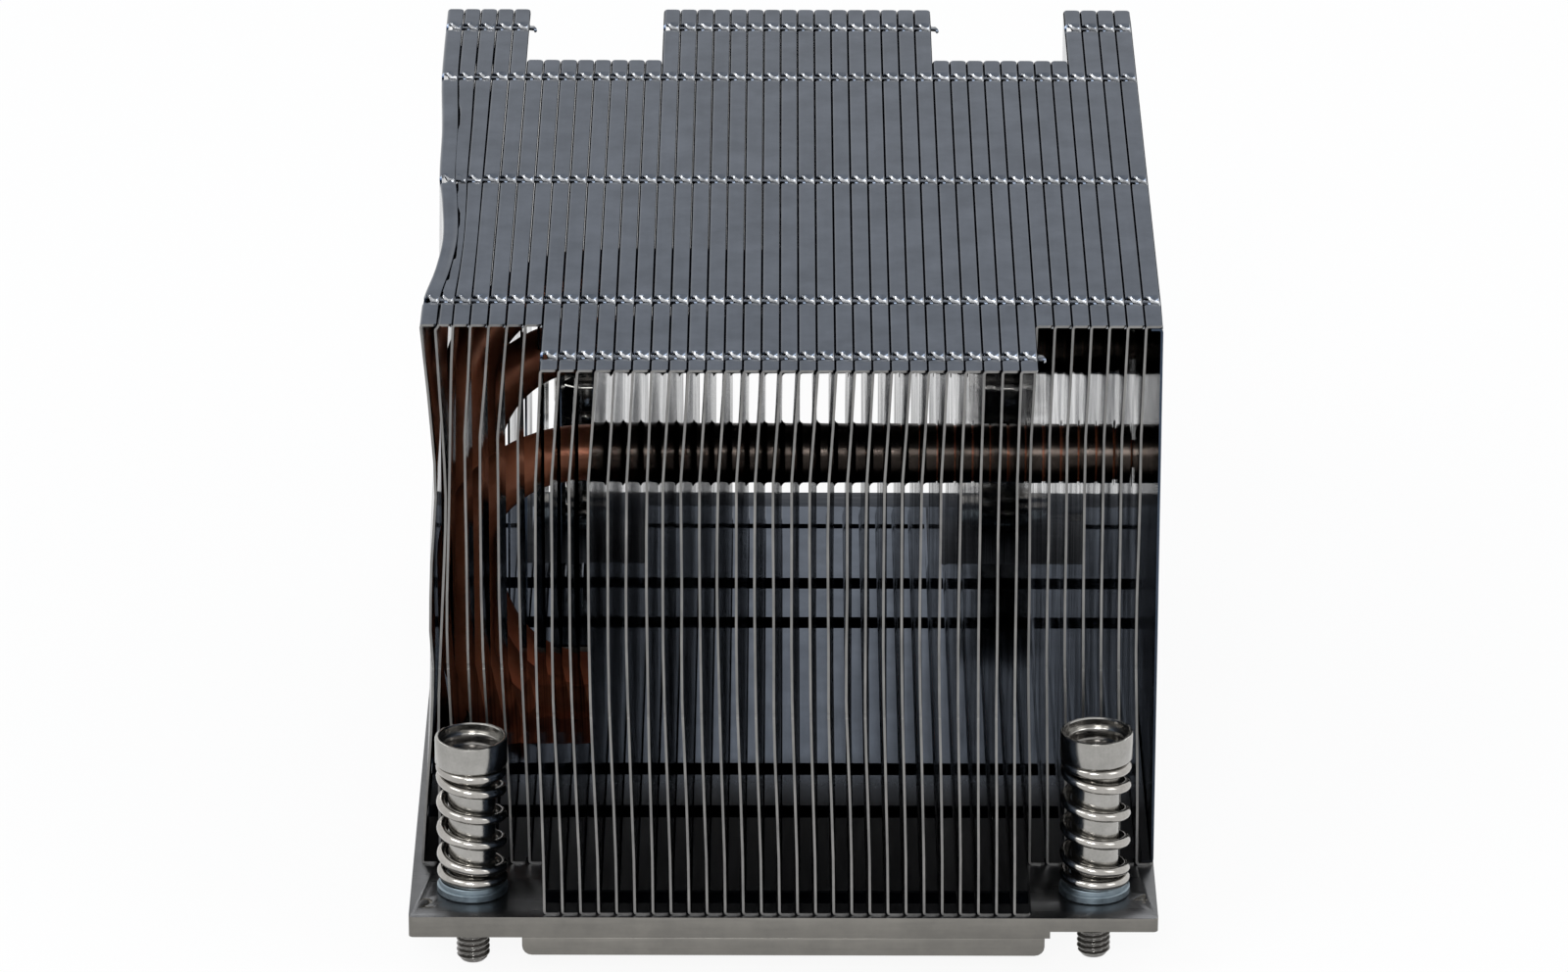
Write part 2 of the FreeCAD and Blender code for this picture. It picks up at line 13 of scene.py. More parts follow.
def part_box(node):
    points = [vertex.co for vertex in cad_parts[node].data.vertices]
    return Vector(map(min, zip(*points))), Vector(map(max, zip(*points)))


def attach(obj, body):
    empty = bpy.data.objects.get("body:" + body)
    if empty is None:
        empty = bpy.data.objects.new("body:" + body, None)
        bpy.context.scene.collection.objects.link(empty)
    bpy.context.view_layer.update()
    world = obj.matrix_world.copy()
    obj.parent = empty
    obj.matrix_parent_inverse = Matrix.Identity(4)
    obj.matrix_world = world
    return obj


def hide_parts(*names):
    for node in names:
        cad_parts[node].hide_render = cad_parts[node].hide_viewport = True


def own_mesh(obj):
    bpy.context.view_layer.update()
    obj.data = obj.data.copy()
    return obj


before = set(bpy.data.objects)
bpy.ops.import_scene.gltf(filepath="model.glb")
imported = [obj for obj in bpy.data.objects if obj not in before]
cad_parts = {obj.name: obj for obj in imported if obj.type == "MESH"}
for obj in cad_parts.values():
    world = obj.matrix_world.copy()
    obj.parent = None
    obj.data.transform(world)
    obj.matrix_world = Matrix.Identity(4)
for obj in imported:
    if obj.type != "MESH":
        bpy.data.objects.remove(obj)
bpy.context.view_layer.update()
MM = 0.001

# -------- camera
# A long lens nearly a metre away, straight in front of the fins and a little above,
# looking down on the stack through the open channels.
CAMERA_PLACE = (-0.5 * MM, -908.4 * MM, 393.6 * MM)
TURNED_ASIDE, LOOKING_DOWN, TILTED = -0.03, 21.7, 0.146


def set_down(name, data):
    """A new object in the scene, from its mesh, lens, lamp or text."""
    item = bpy.data.objects.new(name, data)
    bpy.context.scene.collection.objects.link(item)
    return item


camera_lens = bpy.data.cameras.new("studio_camera")
camera_lens.sensor_fit = "HORIZONTAL"
camera_lens.sensor_width = 36
camera_lens.lens = 211.5
camera_lens.clip_start = 0.05
camera_lens.clip_end = 30
camera = set_down("studio_camera", camera_lens)
camera.matrix_world = (
    Matrix.Translation(CAMERA_PLACE)
    @ Matrix.Rotation(math.radians(TURNED_ASIDE), 4, "Z")
    @ Matrix.Rotation(math.radians(90 - LOOKING_DOWN), 4, "X")
    @ Matrix.Rotation(math.radians(TILTED), 4, "Z")
)
bpy.context.scene.camera = camera
bpy.context.scene.view_settings.view_transform = "Standard"

# -------- floor and light
# A plain white table under a white surround, with a wide soft lamp high on the left, a
# weaker one on the right, one in front, and a strip behind for the stack's top edges.
FLOOR_LEVEL = min(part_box("screw_" + corner)[0].z for corner in ("front_left", "rear_left"))


def add_node(tree, kind, inputs=None, **settings):
    """One shader node, with the fixed values or links of its inputs, and its settings."""
    node = tree.nodes.new("ShaderNode" + kind)
    for name, value in settings.items():
        setattr(node, name, value)
    for name, value in (inputs or {}).items():
        if isinstance(value, bpy.types.NodeSocket):
            tree.links.new(value, node.inputs[name])
        else:
            node.inputs[name].default_value = value
    return node


def maths(tree, operation, first, second, third=0.0, clamp=False):
    """The result of one Math node."""
    terms = {0: first, 1: second, 2: third}
    return add_node(tree, "Math", terms, operation=operation, use_clamp=clamp).outputs[0]


def mix_shaders(tree, share, first, second):
    return add_node(tree, "MixShader", {0: share, 1: first, 2: second}).outputs[0]


def empty_tree(owner):
    """The node tree of a world or a material, cleared."""
    owner.use_nodes = True
    owner.node_tree.nodes.clear()
    return owner.node_tree


def seen_or_mirrored(tree):
    """1 where the ray comes from the eye, a reflection or a refraction."""
    ray = add_node(tree, "LightPath").outputs
    total = maths(tree, "ADD", ray["Is Camera Ray"], ray["Is Glossy Ray"])
    return maths(tree, "ADD", total, ray["Is Transmission Ray"], clamp=True)


surround = bpy.data.worlds.new("white_surround")
bpy.context.scene.world = surround
tree = empty_tree(surround)
soft_light = add_node(tree, "Background", {"Color": (0.93, 0.96, 1, 1), "Strength": 0.6})
white = add_node(tree, "Background", {"Color": (1, 1, 1, 1), "Strength": 1})
shown = mix_shaders(tree, seen_or_mirrored(tree), soft_light.outputs[0], white.outputs[0])
add_node(tree, "OutputWorld", {"Surface": shown})

TABLE_TONE = 0.92
WHITE_SHARE = 0.92
FLOOR_REACH = 4
table_paint = bpy.data.materials.new("white_table")
tree = empty_tree(table_paint)
lit = add_node(tree, "BsdfDiffuse", {"Color": (TABLE_TONE, TABLE_TONE, TABLE_TONE, 1)})
bare = add_node(tree, "Emission", {"Color": (1, 1, 1, 1), "Strength": 1})
share = maths(tree, "MULTIPLY", seen_or_mirrored(tree), WHITE_SHARE)
paint = mix_shaders(tree, share, lit.outputs[0], bare.outputs[0])
# the table is clear from below, so that the underside can be seen
from_below = add_node(tree, "NewGeometry").outputs["Backfacing"]
clear = add_node(tree, "BsdfTransparent").outputs[0]
add_node(tree, "OutputMaterial", {"Surface": mix_shaders(tree, from_below, paint, clear)})
table_mesh = bpy.data.meshes.new("floor")
square = ((-1, -1), (1, -1), (1, 1), (-1, 1))
table_corners = [(x * FLOOR_REACH, y * FLOOR_REACH, FLOOR_LEVEL) for x, y in square]
table_mesh.from_pydata(table_corners, [], [(0, 1, 2, 3)])
table_mesh.materials.append(table_paint)
table = set_down("floor", table_mesh)


def soft_lamp(name, place, width, depth, watts):
    lamp = bpy.data.lights.new(name, "AREA")
    lamp.shape = "RECTANGLE"
    lamp.size = width
    lamp.size_y = depth
    lamp.energy = watts
    holder = set_down(name, lamp)
    holder.location = place
    holder.rotation_euler = (-Vector(place)).to_track_quat("-Z", "Y").to_euler()


soft_lamp("lamp_left", (-0.9, -0.8, 1.1), 0.8, 0.6, 6)
soft_lamp("lamp_right", (1.1, -0.6, 0.7), 0.6, 0.6, 3)
soft_lamp("lamp_behind", (0.1, 1.1, 0.9), 0.9, 0.12, 2.5)
soft_lamp("lamp_front", (-0.1, -1.3, 0.75), 0.4, 0.3, 9)


# -------- contact block
# The block that sits on the processor: copper, plated dull grey, its working face
# ground flat and its lower long edges rounded. It is soldered under the plate.
EVEN = (1.0, 1.0, 1.0)
CLOUD_GRAIN, SPECK_GRAIN = 190.0, 2600.0
SPECK_SHARE = 0.35
SURFACE_DEPTH = 0.01 * MM
DULLED_ROUGHNESS = 0.34


def noise(tree, place, scale, detail, roughness=0.5):
    inputs = {"Vector": place, "Scale": scale, "Detail": detail, "Roughness": roughness}
    return add_node(tree, "TexNoise", inputs).outputs["Fac"]


def stretched(tree, place, scale):
    return add_node(tree, "Mapping", {"Vector": place, "Scale": scale}).outputs[0]


def ramp(tree, value, places, levels):
    """A value that runs between two levels while its input runs between two places."""
    ends = {"From Min": places[0], "From Max": places[1], "To Min": levels[0], "To Max": levels[1]}
    return add_node(tree, "MapRange", {"Value": value, **ends}).outputs[0]


def mix_tones(tree, share, first, second):
    inputs = {"Factor": share, "A": first, "B": second}
    return add_node(tree, "Mix", inputs, data_type="RGBA").outputs["Result"]


def metal_finish(
    name, dark, light, gloss, grain, relief, stretch=EVEN, stain=0.5, edge=1.0, painted_shade=None
):
    """Bare or plated metal: cloudy tone, directional grain in roughness and surface."""
    finish = bpy.data.materials.new(name)
    tree = empty_tree(finish)
    place = add_node(tree, "TexCoord").outputs["Object"]
    lines = noise(tree, stretched(tree, place, stretch), grain, 5, 0.6)
    cloud = ramp(tree, noise(tree, place, CLOUD_GRAIN, 6, 0.65), (0.36, 0.66), (0, stain))
    specks = noise(tree, place, SPECK_GRAIN, 2)
    share = maths(tree, "MULTIPLY_ADD", lines, 1 - stain, cloud, clamp=True)
    colour = mix_tones(tree, share, (*dark, 1), (*light, 1))
    roughness = ramp(tree, lines, (0.3, 0.7), gloss)
    if painted_shade:
        # painted shade, as a darker and duller zone: the levels and the depths, in metres, where it is
        # full and gone
        levels, depths, shade_tone = painted_shade
        spot = add_node(tree, "SeparateXYZ", {"Vector": place}).outputs
        low = ramp(tree, spot["Z"], levels, (1, 0))
        near = ramp(tree, spot["Y"], depths, (1, 0))
        dulled = maths(tree, "MULTIPLY", low, near)
        colour = mix_tones(tree, dulled, colour, (*shade_tone, 1))
        roughness = maths(tree, "MULTIPLY_ADD", dulled, DULLED_ROUGHNESS, roughness)
    height = maths(tree, "MULTIPLY_ADD", specks, SPECK_SHARE, lines)
    relief_depth = {"Strength": relief, "Distance": SURFACE_DEPTH, "Height": height}
    shader_inputs = {
        "Base Color": colour,
        "Specular Tint": (edge, edge, edge, 1),
        "Metallic": 1.0,
        "Roughness": roughness,
        "Normal": add_node(tree, "Bump", relief_depth).outputs[0],
    }
    shader = add_node(tree, "BsdfPrincipled", shader_inputs)
    add_node(tree, "OutputMaterial", {"Surface": shader.outputs[0]})
    return finish


def loose_solid(bm):
    """A temporary object from a bmesh, which is freed."""
    mesh = bpy.data.meshes.new("blank")
    bm.to_mesh(mesh)
    bm.free()
    return set_down("blank", mesh)


def mesh_of(item):
    """A new mesh of an object with its modifiers applied."""
    bpy.context.view_layer.update()
    return bpy.data.meshes.new_from_object(item.evaluated_get(bpy.context.evaluated_depsgraph_get()))


def cut_solid(name, blank, cutters, edge_break):
    """The blank less its cutters, with every sharp edge broken when edge_break is not zero. All are
    temporary objects.
    """
    for cutter in cutters:
        cut = blank.modifiers.new("cut", "BOOLEAN")
        cut.operation = "DIFFERENCE"
        cut.solver = "EXACT"
        cut.object = cutter
    if edge_break:
        broken = blank.modifiers.new("broken_edges", "BEVEL")
        broken.width = edge_break
        broken.segments = 2
        broken.limit_method = "ANGLE"
        broken.angle_limit = math.radians(50)
        broken.harden_normals = False
    mesh = mesh_of(blank)
    mesh.name = name
    for item in [blank, *cutters]:
        bpy.data.objects.remove(item)
    return mesh


def box_blank(low, high, round_edges=0.0, along=None, steps=4):
    """A temporary box. Its edges along an axis can be rounded, or with "-" the lower ones."""
    bm = bmesh.new()
    bmesh.ops.create_cube(bm, size=1)
    for vertex in bm.verts:
        vertex.co = [low[k] if vertex.co[k] < 0 else high[k] for k in range(3)]
    if round_edges:
        axis = "xyz".index(along[0])
        edges = [
            edge
            for edge in bm.edges
            if abs(edge.verts[0].co[axis] - edge.verts[1].co[axis]) > 1e-6
            and (len(along) == 1 or edge.verts[0].co.z < (low[2] + high[2]) / 2)
        ]
        bmesh.ops.bevel(bm, geom=edges, offset=round_edges, segments=steps, affect="EDGES", profile=0.5)
    return loose_solid(bm)


def add_piece(name, mesh, body, slot, *finishes):
    """A finished mesh becomes a shown piece that moves with its body."""
    for finish in finishes:
        mesh.materials.append(finish)
    piece = set_down(name, mesh)
    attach(piece, body)
    return piece


def smooth_by_angle(mesh, degrees):
    mesh.shade_smooth()
    mesh.set_sharp_from_angle(angle=math.radians(degrees))


MILLED_LINES = (0.05, 1.0, 1.0)
MILLED_GRAIN = 3000.0
tones = (0.15, 0.145, 0.135), (0.23, 0.22, 0.2)
dull_plating = metal_finish(
    "dull_plating", *tones, (0.3, 0.46), MILLED_GRAIN, 0.35, MILLED_LINES
)
# painted shade: a darker copy of the plating on the side that faces the fins, with a darker bluish strip
# of painted shade at the rear
tones = (0.064, 0.066, 0.07), (0.118, 0.12, 0.125)
shaded_zone = (0.006, 0.01), (0.047, 0.03), (0.03, 0.035, 0.045)
painted_shade_plating = metal_finish(
    "painted_shade_plating", *tones, (0.26, 0.4), MILLED_GRAIN, 0.35, MILLED_LINES, painted_shade=shaded_zone
)
block_low, block_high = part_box("contact_block")
plate_low, plate_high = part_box("base_plate")
# how far a cutter stands out of what it cuts
SPARE = 1 * MM
BED_LEVEL = 1.75 * MM
BLOCK_ROUNDING = 1.0 * MM
BLOCK_EDGE_BREAK = 0.12 * MM
window_low = Vector((-32.2 * MM, -5 * MM, 0))
window_high = Vector((25 * MM, 22.2 * MM, 0))
block = box_blank(block_low, block_high, BLOCK_ROUNDING, "y-")
bed_low = (block_low.x - SPARE, window_low.y, BED_LEVEL)
bed = box_blank(bed_low, (window_high.x, window_high.y, block_high.z + SPARE))
block_mesh = cut_solid("contact_block_ground", block, [bed], BLOCK_EDGE_BREAK)
smooth_by_angle(block_mesh, 35)
block_piece = add_piece("contact_block_ground", block_mesh, "root", "plated_copper", dull_plating)
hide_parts("contact_block")


# -------- base plate
# One milled plate with a long window for the pipe feet, four screw holes and a step
# under its right edge. The screw order is engraved as a digit beside each hole.
def round_cutter(x, y, radius, low, high, sides=40):
    bm = bmesh.new()
    bmesh.ops.create_cone(
        bm, cap_ends=True, segments=sides, radius1=radius, radius2=radius, depth=high - low
    )
    bmesh.ops.translate(bm, verts=bm.verts, vec=(x, y, (low + high) / 2))
    return loose_solid(bm)


DIGIT_HEIGHT = 3.4 * MM
DIGIT_DEPTH = 0.14 * MM


def digit_cutter(text, x, y):
    """A plain digit as a temporary solid that sinks into the plate from above."""
    writing = bpy.data.curves.new("digit", "FONT")
    writing.body = text
    writing.size = DIGIT_HEIGHT
    writing.align_x = "CENTER"
    writing.align_y = "CENTER"
    writing.extrude = DIGIT_DEPTH
    writing.resolution_u = 3
    item = set_down("digit", writing)
    item.location = (x, y, plate_high.z)
    mesh = mesh_of(item)
    mesh.transform(item.matrix_world)
    bpy.data.objects.remove(item)
    bm = bmesh.new()
    bm.from_mesh(mesh)
    bmesh.ops.remove_doubles(bm, verts=bm.verts, dist=1e-7)
    bmesh.ops.recalc_face_normals(bm, faces=bm.faces)
    return loose_solid(bm)


CORNERS = ("front_left", "front_right", "rear_left", "rear_right")


def screw_axis(corner):
    low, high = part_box("screw_" + corner)
    return (low.x + high.x) / 2, (low.y + high.y) / 2


SCREW_HOLE = 2.7 * MM
MILLED_FROM = 27.3 * MM
MILLED_DEPTH = 0.75 * MM
PLATE_CORNER = 0.5 * MM
WINDOW_CORNER = 1.2 * MM
PLATE_EDGE_BREAK = 0.16 * MM
# each corner's digit, and how far it stands aside and ahead of the screw
DIGITS = {
    "rear_left": ("1", -7.4, 0.6),
    "front_left": ("2", -4.6, -3.6),
    "rear_right": ("3", 7.4, 0.6),
    "front_right": ("4", 4.7, -2.2),
}
plate = box_blank(plate_low, plate_high, PLATE_CORNER, "z")
below, above = plate_low.z - SPARE, plate_high.z + SPARE
window_below = (window_low.x, window_low.y, below)
window_above = (window_high.x, window_high.y, above)
cutters = [
    box_blank(window_below, window_above, WINDOW_CORNER, "z"),
    box_blank(
        (MILLED_FROM, plate_low.y - SPARE, below),
        (plate_high.x + SPARE, plate_high.y + SPARE, plate_low.z + MILLED_DEPTH),
    ),
]
for corner in CORNERS:
    x, y = screw_axis(corner)
    cutters.append(round_cutter(x, y, SCREW_HOLE, below, above))
    digit, aside, ahead = DIGITS[corner]
    cutters.append(digit_cutter(digit, x + aside * MM, y + ahead * MM))
plate_mesh = cut_solid("base_plate_milled", plate, cutters, PLATE_EDGE_BREAK)
smooth_by_angle(plate_mesh, 35)
plate_piece = add_piece(
    "base_plate_milled", plate_mesh, "root", "plated_copper", dull_plating, painted_shade_plating
)
# the upper face gets the painted shade, and the floors of the digits do not, so they read lighter
for face in plate_mesh.polygons:
    if face.normal.z > 0.8 and face.center.z > plate_high.z - 0.02 * MM:
        face.material_index = 1
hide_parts("base_plate")


# -------- heat pipes
# Three sealed copper tubes: the foot is pressed flat in the plate's window, then the
# tube turns up at the left and back to the right through the fins. Left bare.
PIPE_RADIUS = 2.95 * MM
PIPE_BEND = 13 * MM
PIPE_LEG_X = -33.8 * MM
FOOT_HEIGHT = 2.5 * MM
FOOT_WIDTH = FOOT_HEIGHT + math.pi * (2 * PIPE_RADIUS - FOOT_HEIGHT) / 2
FOOT_LEVEL = plate_high.z - FOOT_HEIGHT / 2
FOOT_END = 24.4 * MM
PIPE_END = 37.1 * MM
PIPE_SIDES = 36
BEND_STEPS = 18
# how far back from an end, and how large the tube is there: a pinched foot, a welded nose
FOOT_TIP = ((0.0, 0.45), (0.25, 0.8), (0.8, 0.97), (1.6, 1.0))
NOSE = ((3.4, 1.0), (2.6, 0.93), (1.8, 0.74), (1.2, 0.56), (0.5, 0.46), (0.12, 0.38), (0, 0.24))
OVALING = 0.05
PIPES = {
    "pipe_front": (-0.4 * MM, -7.4 * MM, 38.8 * MM),
    "pipe_middle": (8.6 * MM, 8.6 * MM, 52.5 * MM),
    "pipe_rear": (17.6 * MM, 24.6 * MM, 38.8 * MM),
}


def skin_rings(name, rings, close=True):
    """A skin over a row of equal rings of points, with a flat cap at each end when close is set."""
    count = len(rings[0])
    faces = []
    for step in range(len(rings) - 1):
        for k in range(count):
            after = (k + 1) % count
            near, far = step * count, (step + 1) * count
            faces.append((near + k, near + after, far + after, far + k))
    if close:
        faces.append(tuple(reversed(range(count))))
        faces.append(tuple(range((len(rings) - 1) * count, len(rings) * count)))
    mesh = bpy.data.meshes.new(name)
    mesh.from_pydata([point for ring in rings for point in ring], [], faces)
    bm = bmesh.new()
    bm.from_mesh(mesh)
    bmesh.ops.recalc_face_normals(bm, faces=bm.faces)
    bm.to_mesh(mesh)
    bm.free()
    return mesh


def around(count, start=0.0):
    """The cosine and sine of equal steps round a circle."""
    angles = [2 * math.pi * (k + start) / count for k in range(count)]
    return [(math.cos(angle), math.sin(angle)) for angle in angles]


def tube_ring(centre, across, upright, half_width, half_height):
    """Two half circles with a straight between them: a round or a flattened tube."""
    ring = []
    for aside, up in around(PIPE_SIDES, 0.5):
        side = math.copysign(half_width - half_height, aside)
        ring.append(centre + across * (half_height * aside + side) + upright * (half_height * up))
    return ring


def ease(share):
    share = min(1.0, max(0.0, share))
    return share * share * (3 - 2 * share)


def heat_pipe(name, foot_y, leg_y, leg_z):
    foot = Vector((PIPE_LEG_X + PIPE_BEND, foot_y, FOOT_LEVEL))
    rise = Vector((0, leg_y - foot_y, leg_z - FOOT_LEVEL))
    up = rise.normalized()
    across = Vector((0, up.z, -up.y))
    right, level, plumb = Vector((1, 0, 0)), Vector((0, 1, 0)), Vector((0, 0, 1))
    flat = (FOOT_WIDTH / 2, FOOT_HEIGHT / 2)
    rings = []
    for back, size in FOOT_TIP:
        spot = Vector((FOOT_END - back * MM, foot_y, FOOT_LEVEL))
        rings.append(tube_ring(spot, level, plumb, flat[0] * (0.75 + size / 4), flat[1] * size))
    rings.append(tube_ring(foot + right * 6 * MM, level, plumb, *flat))
    for step in range(BEND_STEPS + 1):
        angle = math.pi / 2 * step / BEND_STEPS
        spot = foot - right * PIPE_BEND * math.sin(angle) + up * PIPE_BEND * (1 - math.cos(angle))
        outward = up * math.cos(angle) + right * math.sin(angle)
        share = ease(1.25 * step / BEND_STEPS)
        halves = [half + (PIPE_RADIUS - half) * share for half in flat]
        rings.append(tube_ring(spot, level.lerp(across, share).normalized(), outward, *halves))
    top = foot + rise
    for step in range(BEND_STEPS + 1):
        angle = math.pi / 2 * step / BEND_STEPS
        spot = top - right * PIPE_BEND * math.cos(angle) - up * PIPE_BEND * (1 - math.sin(angle))
        outward = right * math.cos(angle) - up * math.sin(angle)
        # a bent tube ovals a little at the middle of its bend
        squeeze = 1 - OVALING * math.sin(2 * angle)
        rings.append(tube_ring(spot, across, outward, PIPE_RADIUS, PIPE_RADIUS * squeeze))
    for back, size in NOSE:
        spot = Vector((PIPE_END - back * MM, leg_y, leg_z))
        rings.append(tube_ring(spot, across, -up, PIPE_RADIUS * size, PIPE_RADIUS * size))
    mesh = skin_rings(name + "_drawn", rings)
    smooth_by_angle(mesh, 50)
    return mesh


# the tubes' drawing lines run along x
DRAWN_LINES = (0.4, 1.0, 1.0)
tones = (0.5, 0.17, 0.09), (0.9, 0.46, 0.32)
# the feet, low in the plate's window under the fins, get painted shade as a darker red zone
shaded_zone = (0.006, 0.016), (0.1, 0.2), (0.22, 0.035, 0.015)
bare_copper = metal_finish(
    "bare_copper", *tones, (0.28, 0.5), 900.0, 0.25, DRAWN_LINES, stain=0.7, painted_shade=shaded_zone
)


def cover(finish, tone, thickness):
    """A dull diffuse layer over the clean metal, as thick as thickness(tree, place) says: tarnish on the
    copper, painted shade on the fin walls.
    """
    tree = finish.node_tree
    output = tree.nodes["Material Output"]
    clean = output.inputs["Surface"].links[0].from_socket
    place = add_node(tree, "TexCoord").outputs["Object"]
    dulled = add_node(tree, "BsdfDiffuse", {"Color": (*tone, 1)}).outputs[0]
    covered = mix_shaders(tree, thickness(tree, place), clean, dulled)
    tree.links.new(covered, output.inputs["Surface"])


def patches(tree, place):
    """The tarnish lies in patches of several millimetres."""
    return ramp(tree, noise(tree, place, 150.0, 4), (0.35, 0.65), (0.25, 0.65))


cover(bare_copper, (0.6, 0.2, 0.1), patches)
for node, route in PIPES.items():
    pipe_piece = add_piece(node + "_drawn", heat_pipe(node, *route), "root", "bare_copper", bare_copper)
    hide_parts(node)


# -------- fins
# Each fin is a strip of thin plated sheet, stamped flat with its pipe holes and catches,
# then folded: a wall with a flange at its foot and one at its top. Each fin's tabs snap
# into the windows of the next, and the stack is soldered to the plate and the pipes.

# sizes in millimetres: s runs along the flat strip and y along its folds
SHEET = 0.25
BEND = 0.4
FLANGE = 1.845
PITCH = 1.85
BORE = 3.35
FIN_COUNT = 41
TOP_CATCHES = (-44.8, -28.8, 7.4, 40.4, 57.1)
FOOT_CATCHES = (-44.8, -23.0, -11.8, 28.7, 40.1, 57.1)
CATCH_ROOM = 1.9
TIP_LINES = (1.64, 1.77)
WINDOWED = range(2, 11)
BEND_ARC = math.pi / 2 * BEND
BEND_TURNS = [BEND_ARC * k / 4 for k in range(5)]

foot_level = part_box("fin_20")[0].z / MM
top_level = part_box("fin_20")[1].z / MM


def strip_folds(flange, low, high):
    """Where the two folds of a flat strip start and end, and the strip's whole width."""
    foot_fold = flange - BEND
    wall_foot = foot_fold + BEND_ARC
    wall_top = wall_foot + high - low - 2 * BEND
    top_fold = wall_top + BEND_ARC
    return foot_fold, wall_foot, wall_top, top_fold, top_fold + flange - BEND


FOOT_FOLD, WALL_FOOT, WALL_TOP, TOP_FOLD, STRIP_END = strip_folds(FLANGE, foot_level, top_level)


def fold_strip(along, flange, low, high):
    """X and Z of a point on the outside of the folded strip, from its wall's face."""
    foot_fold, wall_foot, wall_top, top_fold, _ = strip_folds(flange, low, high)
    if along <= foot_fold:
        return flange - along, low
    if along <= wall_foot:
        turn = (along - foot_fold) / BEND
        return BEND * (1 - math.sin(turn)), low + BEND * (1 - math.cos(turn))
    if along <= wall_top:
        return 0.0, low + BEND + along - wall_foot
    if along <= top_fold:
        turn = (along - wall_top) / BEND
        return BEND * (1 - math.cos(turn)), high - BEND * (1 - math.sin(turn))
    return BEND + along - top_fold, high


def inside(point, loop):
    """Whether a flat point lies inside a closed loop."""
    found = False
    x, y = point
    ax, ay = loop[-1]
    for bx, by in loop:
        if (ay > y) != (by > y) and x < (bx - ax) * (y - ay) / (by - ay) + ax:
            found = not found
        ax, ay = bx, by
    return found


SLOPE_STEP = 0.01
# the fins' finishes, in the order in which they are given to each piece
PLATED, BARE_EDGE_AND_HIGHLIGHT, PAINTED_GLINT, SEAM_SHADE, SOLDERED = range(5)


def plated_all_over(s, y, facing):
    return PLATED


def stamped_sheet(
    outline, tabs, holes, folds, dimples, place, finish_of=plated_all_over, left_handed=False
):
    """Cuts a flat strip, folds it with place(along, y) and gives it its thickness."""
    points, edges = [], []
    for loop in [outline, *tabs, *holes]:
        start = len(points)
        points += [Vector(p) for p in loop]
        edges += [(start + k, start + (k + 1) % len(loop)) for k in range(len(loop))]
    for a, b in folds:
        edges.append((len(points), len(points) + 1))
        points += [Vector(a), Vector(b)]
    points += [Vector(p) for p in dimples]
    flat, _, triangles, *_ = delaunay_2d_cdt(points, edges, [], 0, 1e-4)
    boxes = []
    for loop in holes:
        across, lengthwise = [p[0] for p in loop], [p[1] for p in loop]
        boxes.append((min(across), max(across), min(lengthwise), max(lengthwise), loop))
    kept = []
    for triangle in triangles:
        a, b, c = (flat[k] for k in triangle)
        turn = (b - a).cross(c - a)
        if abs(turn) < 1e-7:
            continue
        x, y = (a + b + c) / 3
        if not any(inside((x, y), loop) for loop in (outline, *tabs)):
            continue
        if any(x0 < x < x1 and y0 < y < y1 and inside((x, y), loop) for x0, x1, y0, y1, loop in boxes):
            continue
        kept.append(tuple(triangle) if turn > 0 else tuple(reversed(triangle)))

    used = sorted({k for triangle in kept for k in triangle})
    place_of = {k: n for n, k in enumerate(used)}
    outer, inner, normals = [], [], []
    step = SLOPE_STEP
    for k in used:
        s, y = flat[k]
        spot = place(s, y)
        normal = (place(s + step, y) - place(s - step, y)).cross(place(s, y + step) - place(s, y - step))
        normal.normalize()
        if left_handed:
            normal.negate()
        outer.append(spot * MM)
        inner.append((spot - normal * SHEET) * MM)
        normals.append(normal)
    count = len(used)
    sides = {}
    faces, corner_normals, finishes = [], [], []
    for triangle in kept:
        a, b, c = (place_of[k] for k in triangle)
        for one, two in ((a, b), (b, c), (c, a)):
            if (two, one) in sides:
                del sides[(two, one)]
            else:
                sides[(one, two)] = True
        front, back = (a, b, c), (c + count, b + count, a + count)
        if left_handed:
            front, back = (c, b, a), (a + count, b + count, c + count)
        faces += [front, back]
        s, y = (flat[triangle[0]] + flat[triangle[1]] + flat[triangle[2]]) / 3
        finishes += [finish_of(s, y, None)] * 2
        corner_normals += [normals[k] for k in front] + [-normals[k - count] for k in back]
    vertices = outer + inner
    for one, two in sides:
        rim = (two, one, one + count, two + count)
        if left_handed:
            rim = tuple(reversed(rim))
        start = vertices[rim[0]]
        normal = (vertices[rim[1]] - start).cross(vertices[rim[3]] - start).normalized()
        faces.append(rim)
        s, y = (flat[used[one]] + flat[used[two]]) / 2
        finishes.append(finish_of(s, y, normal.y))
        corner_normals += [normal] * 4
    return vertices, faces, corner_normals, finishes


def sheet_mesh(name, vertices, faces, corner_normals, finishes):
    mesh = bpy.data.meshes.new(name)
    mesh.from_pydata(vertices, [], faces)
    mesh.shade_smooth()
    mesh.polygons.foreach_set("material_index", finishes)
    mesh.normals_split_custom_set(corner_normals)
    return mesh


FREE_CORNER = 0.55
CORNER_STEPS = 4


def rounded_strip(front, rear):
    """The strip's outline, rounded at its four free corners."""
    radius = FREE_CORNER
    loop = []
    for s, y, start in (
        (radius, front + radius, 180),
        (STRIP_END - radius, front + radius, 270),
        (STRIP_END - radius, rear - radius, 0),
        (radius, rear - radius, 90),
    ):
        for k in range(CORNER_STEPS + 1):
            angle = math.radians(start + 90 / CORNER_STEPS * k)
            loop.append((s + radius * math.cos(angle), y + radius * math.sin(angle)))
    return loop


def on_top(x):
    return TOP_FOLD + x - BEND


def on_foot(x):
    return FOOT_FOLD + BEND - x


def on_wall(z):
    return WALL_FOOT + z - foot_level - BEND


def nearest_catch(y):
    return min(TOP_CATCHES, key=lambda known: abs(y - known))


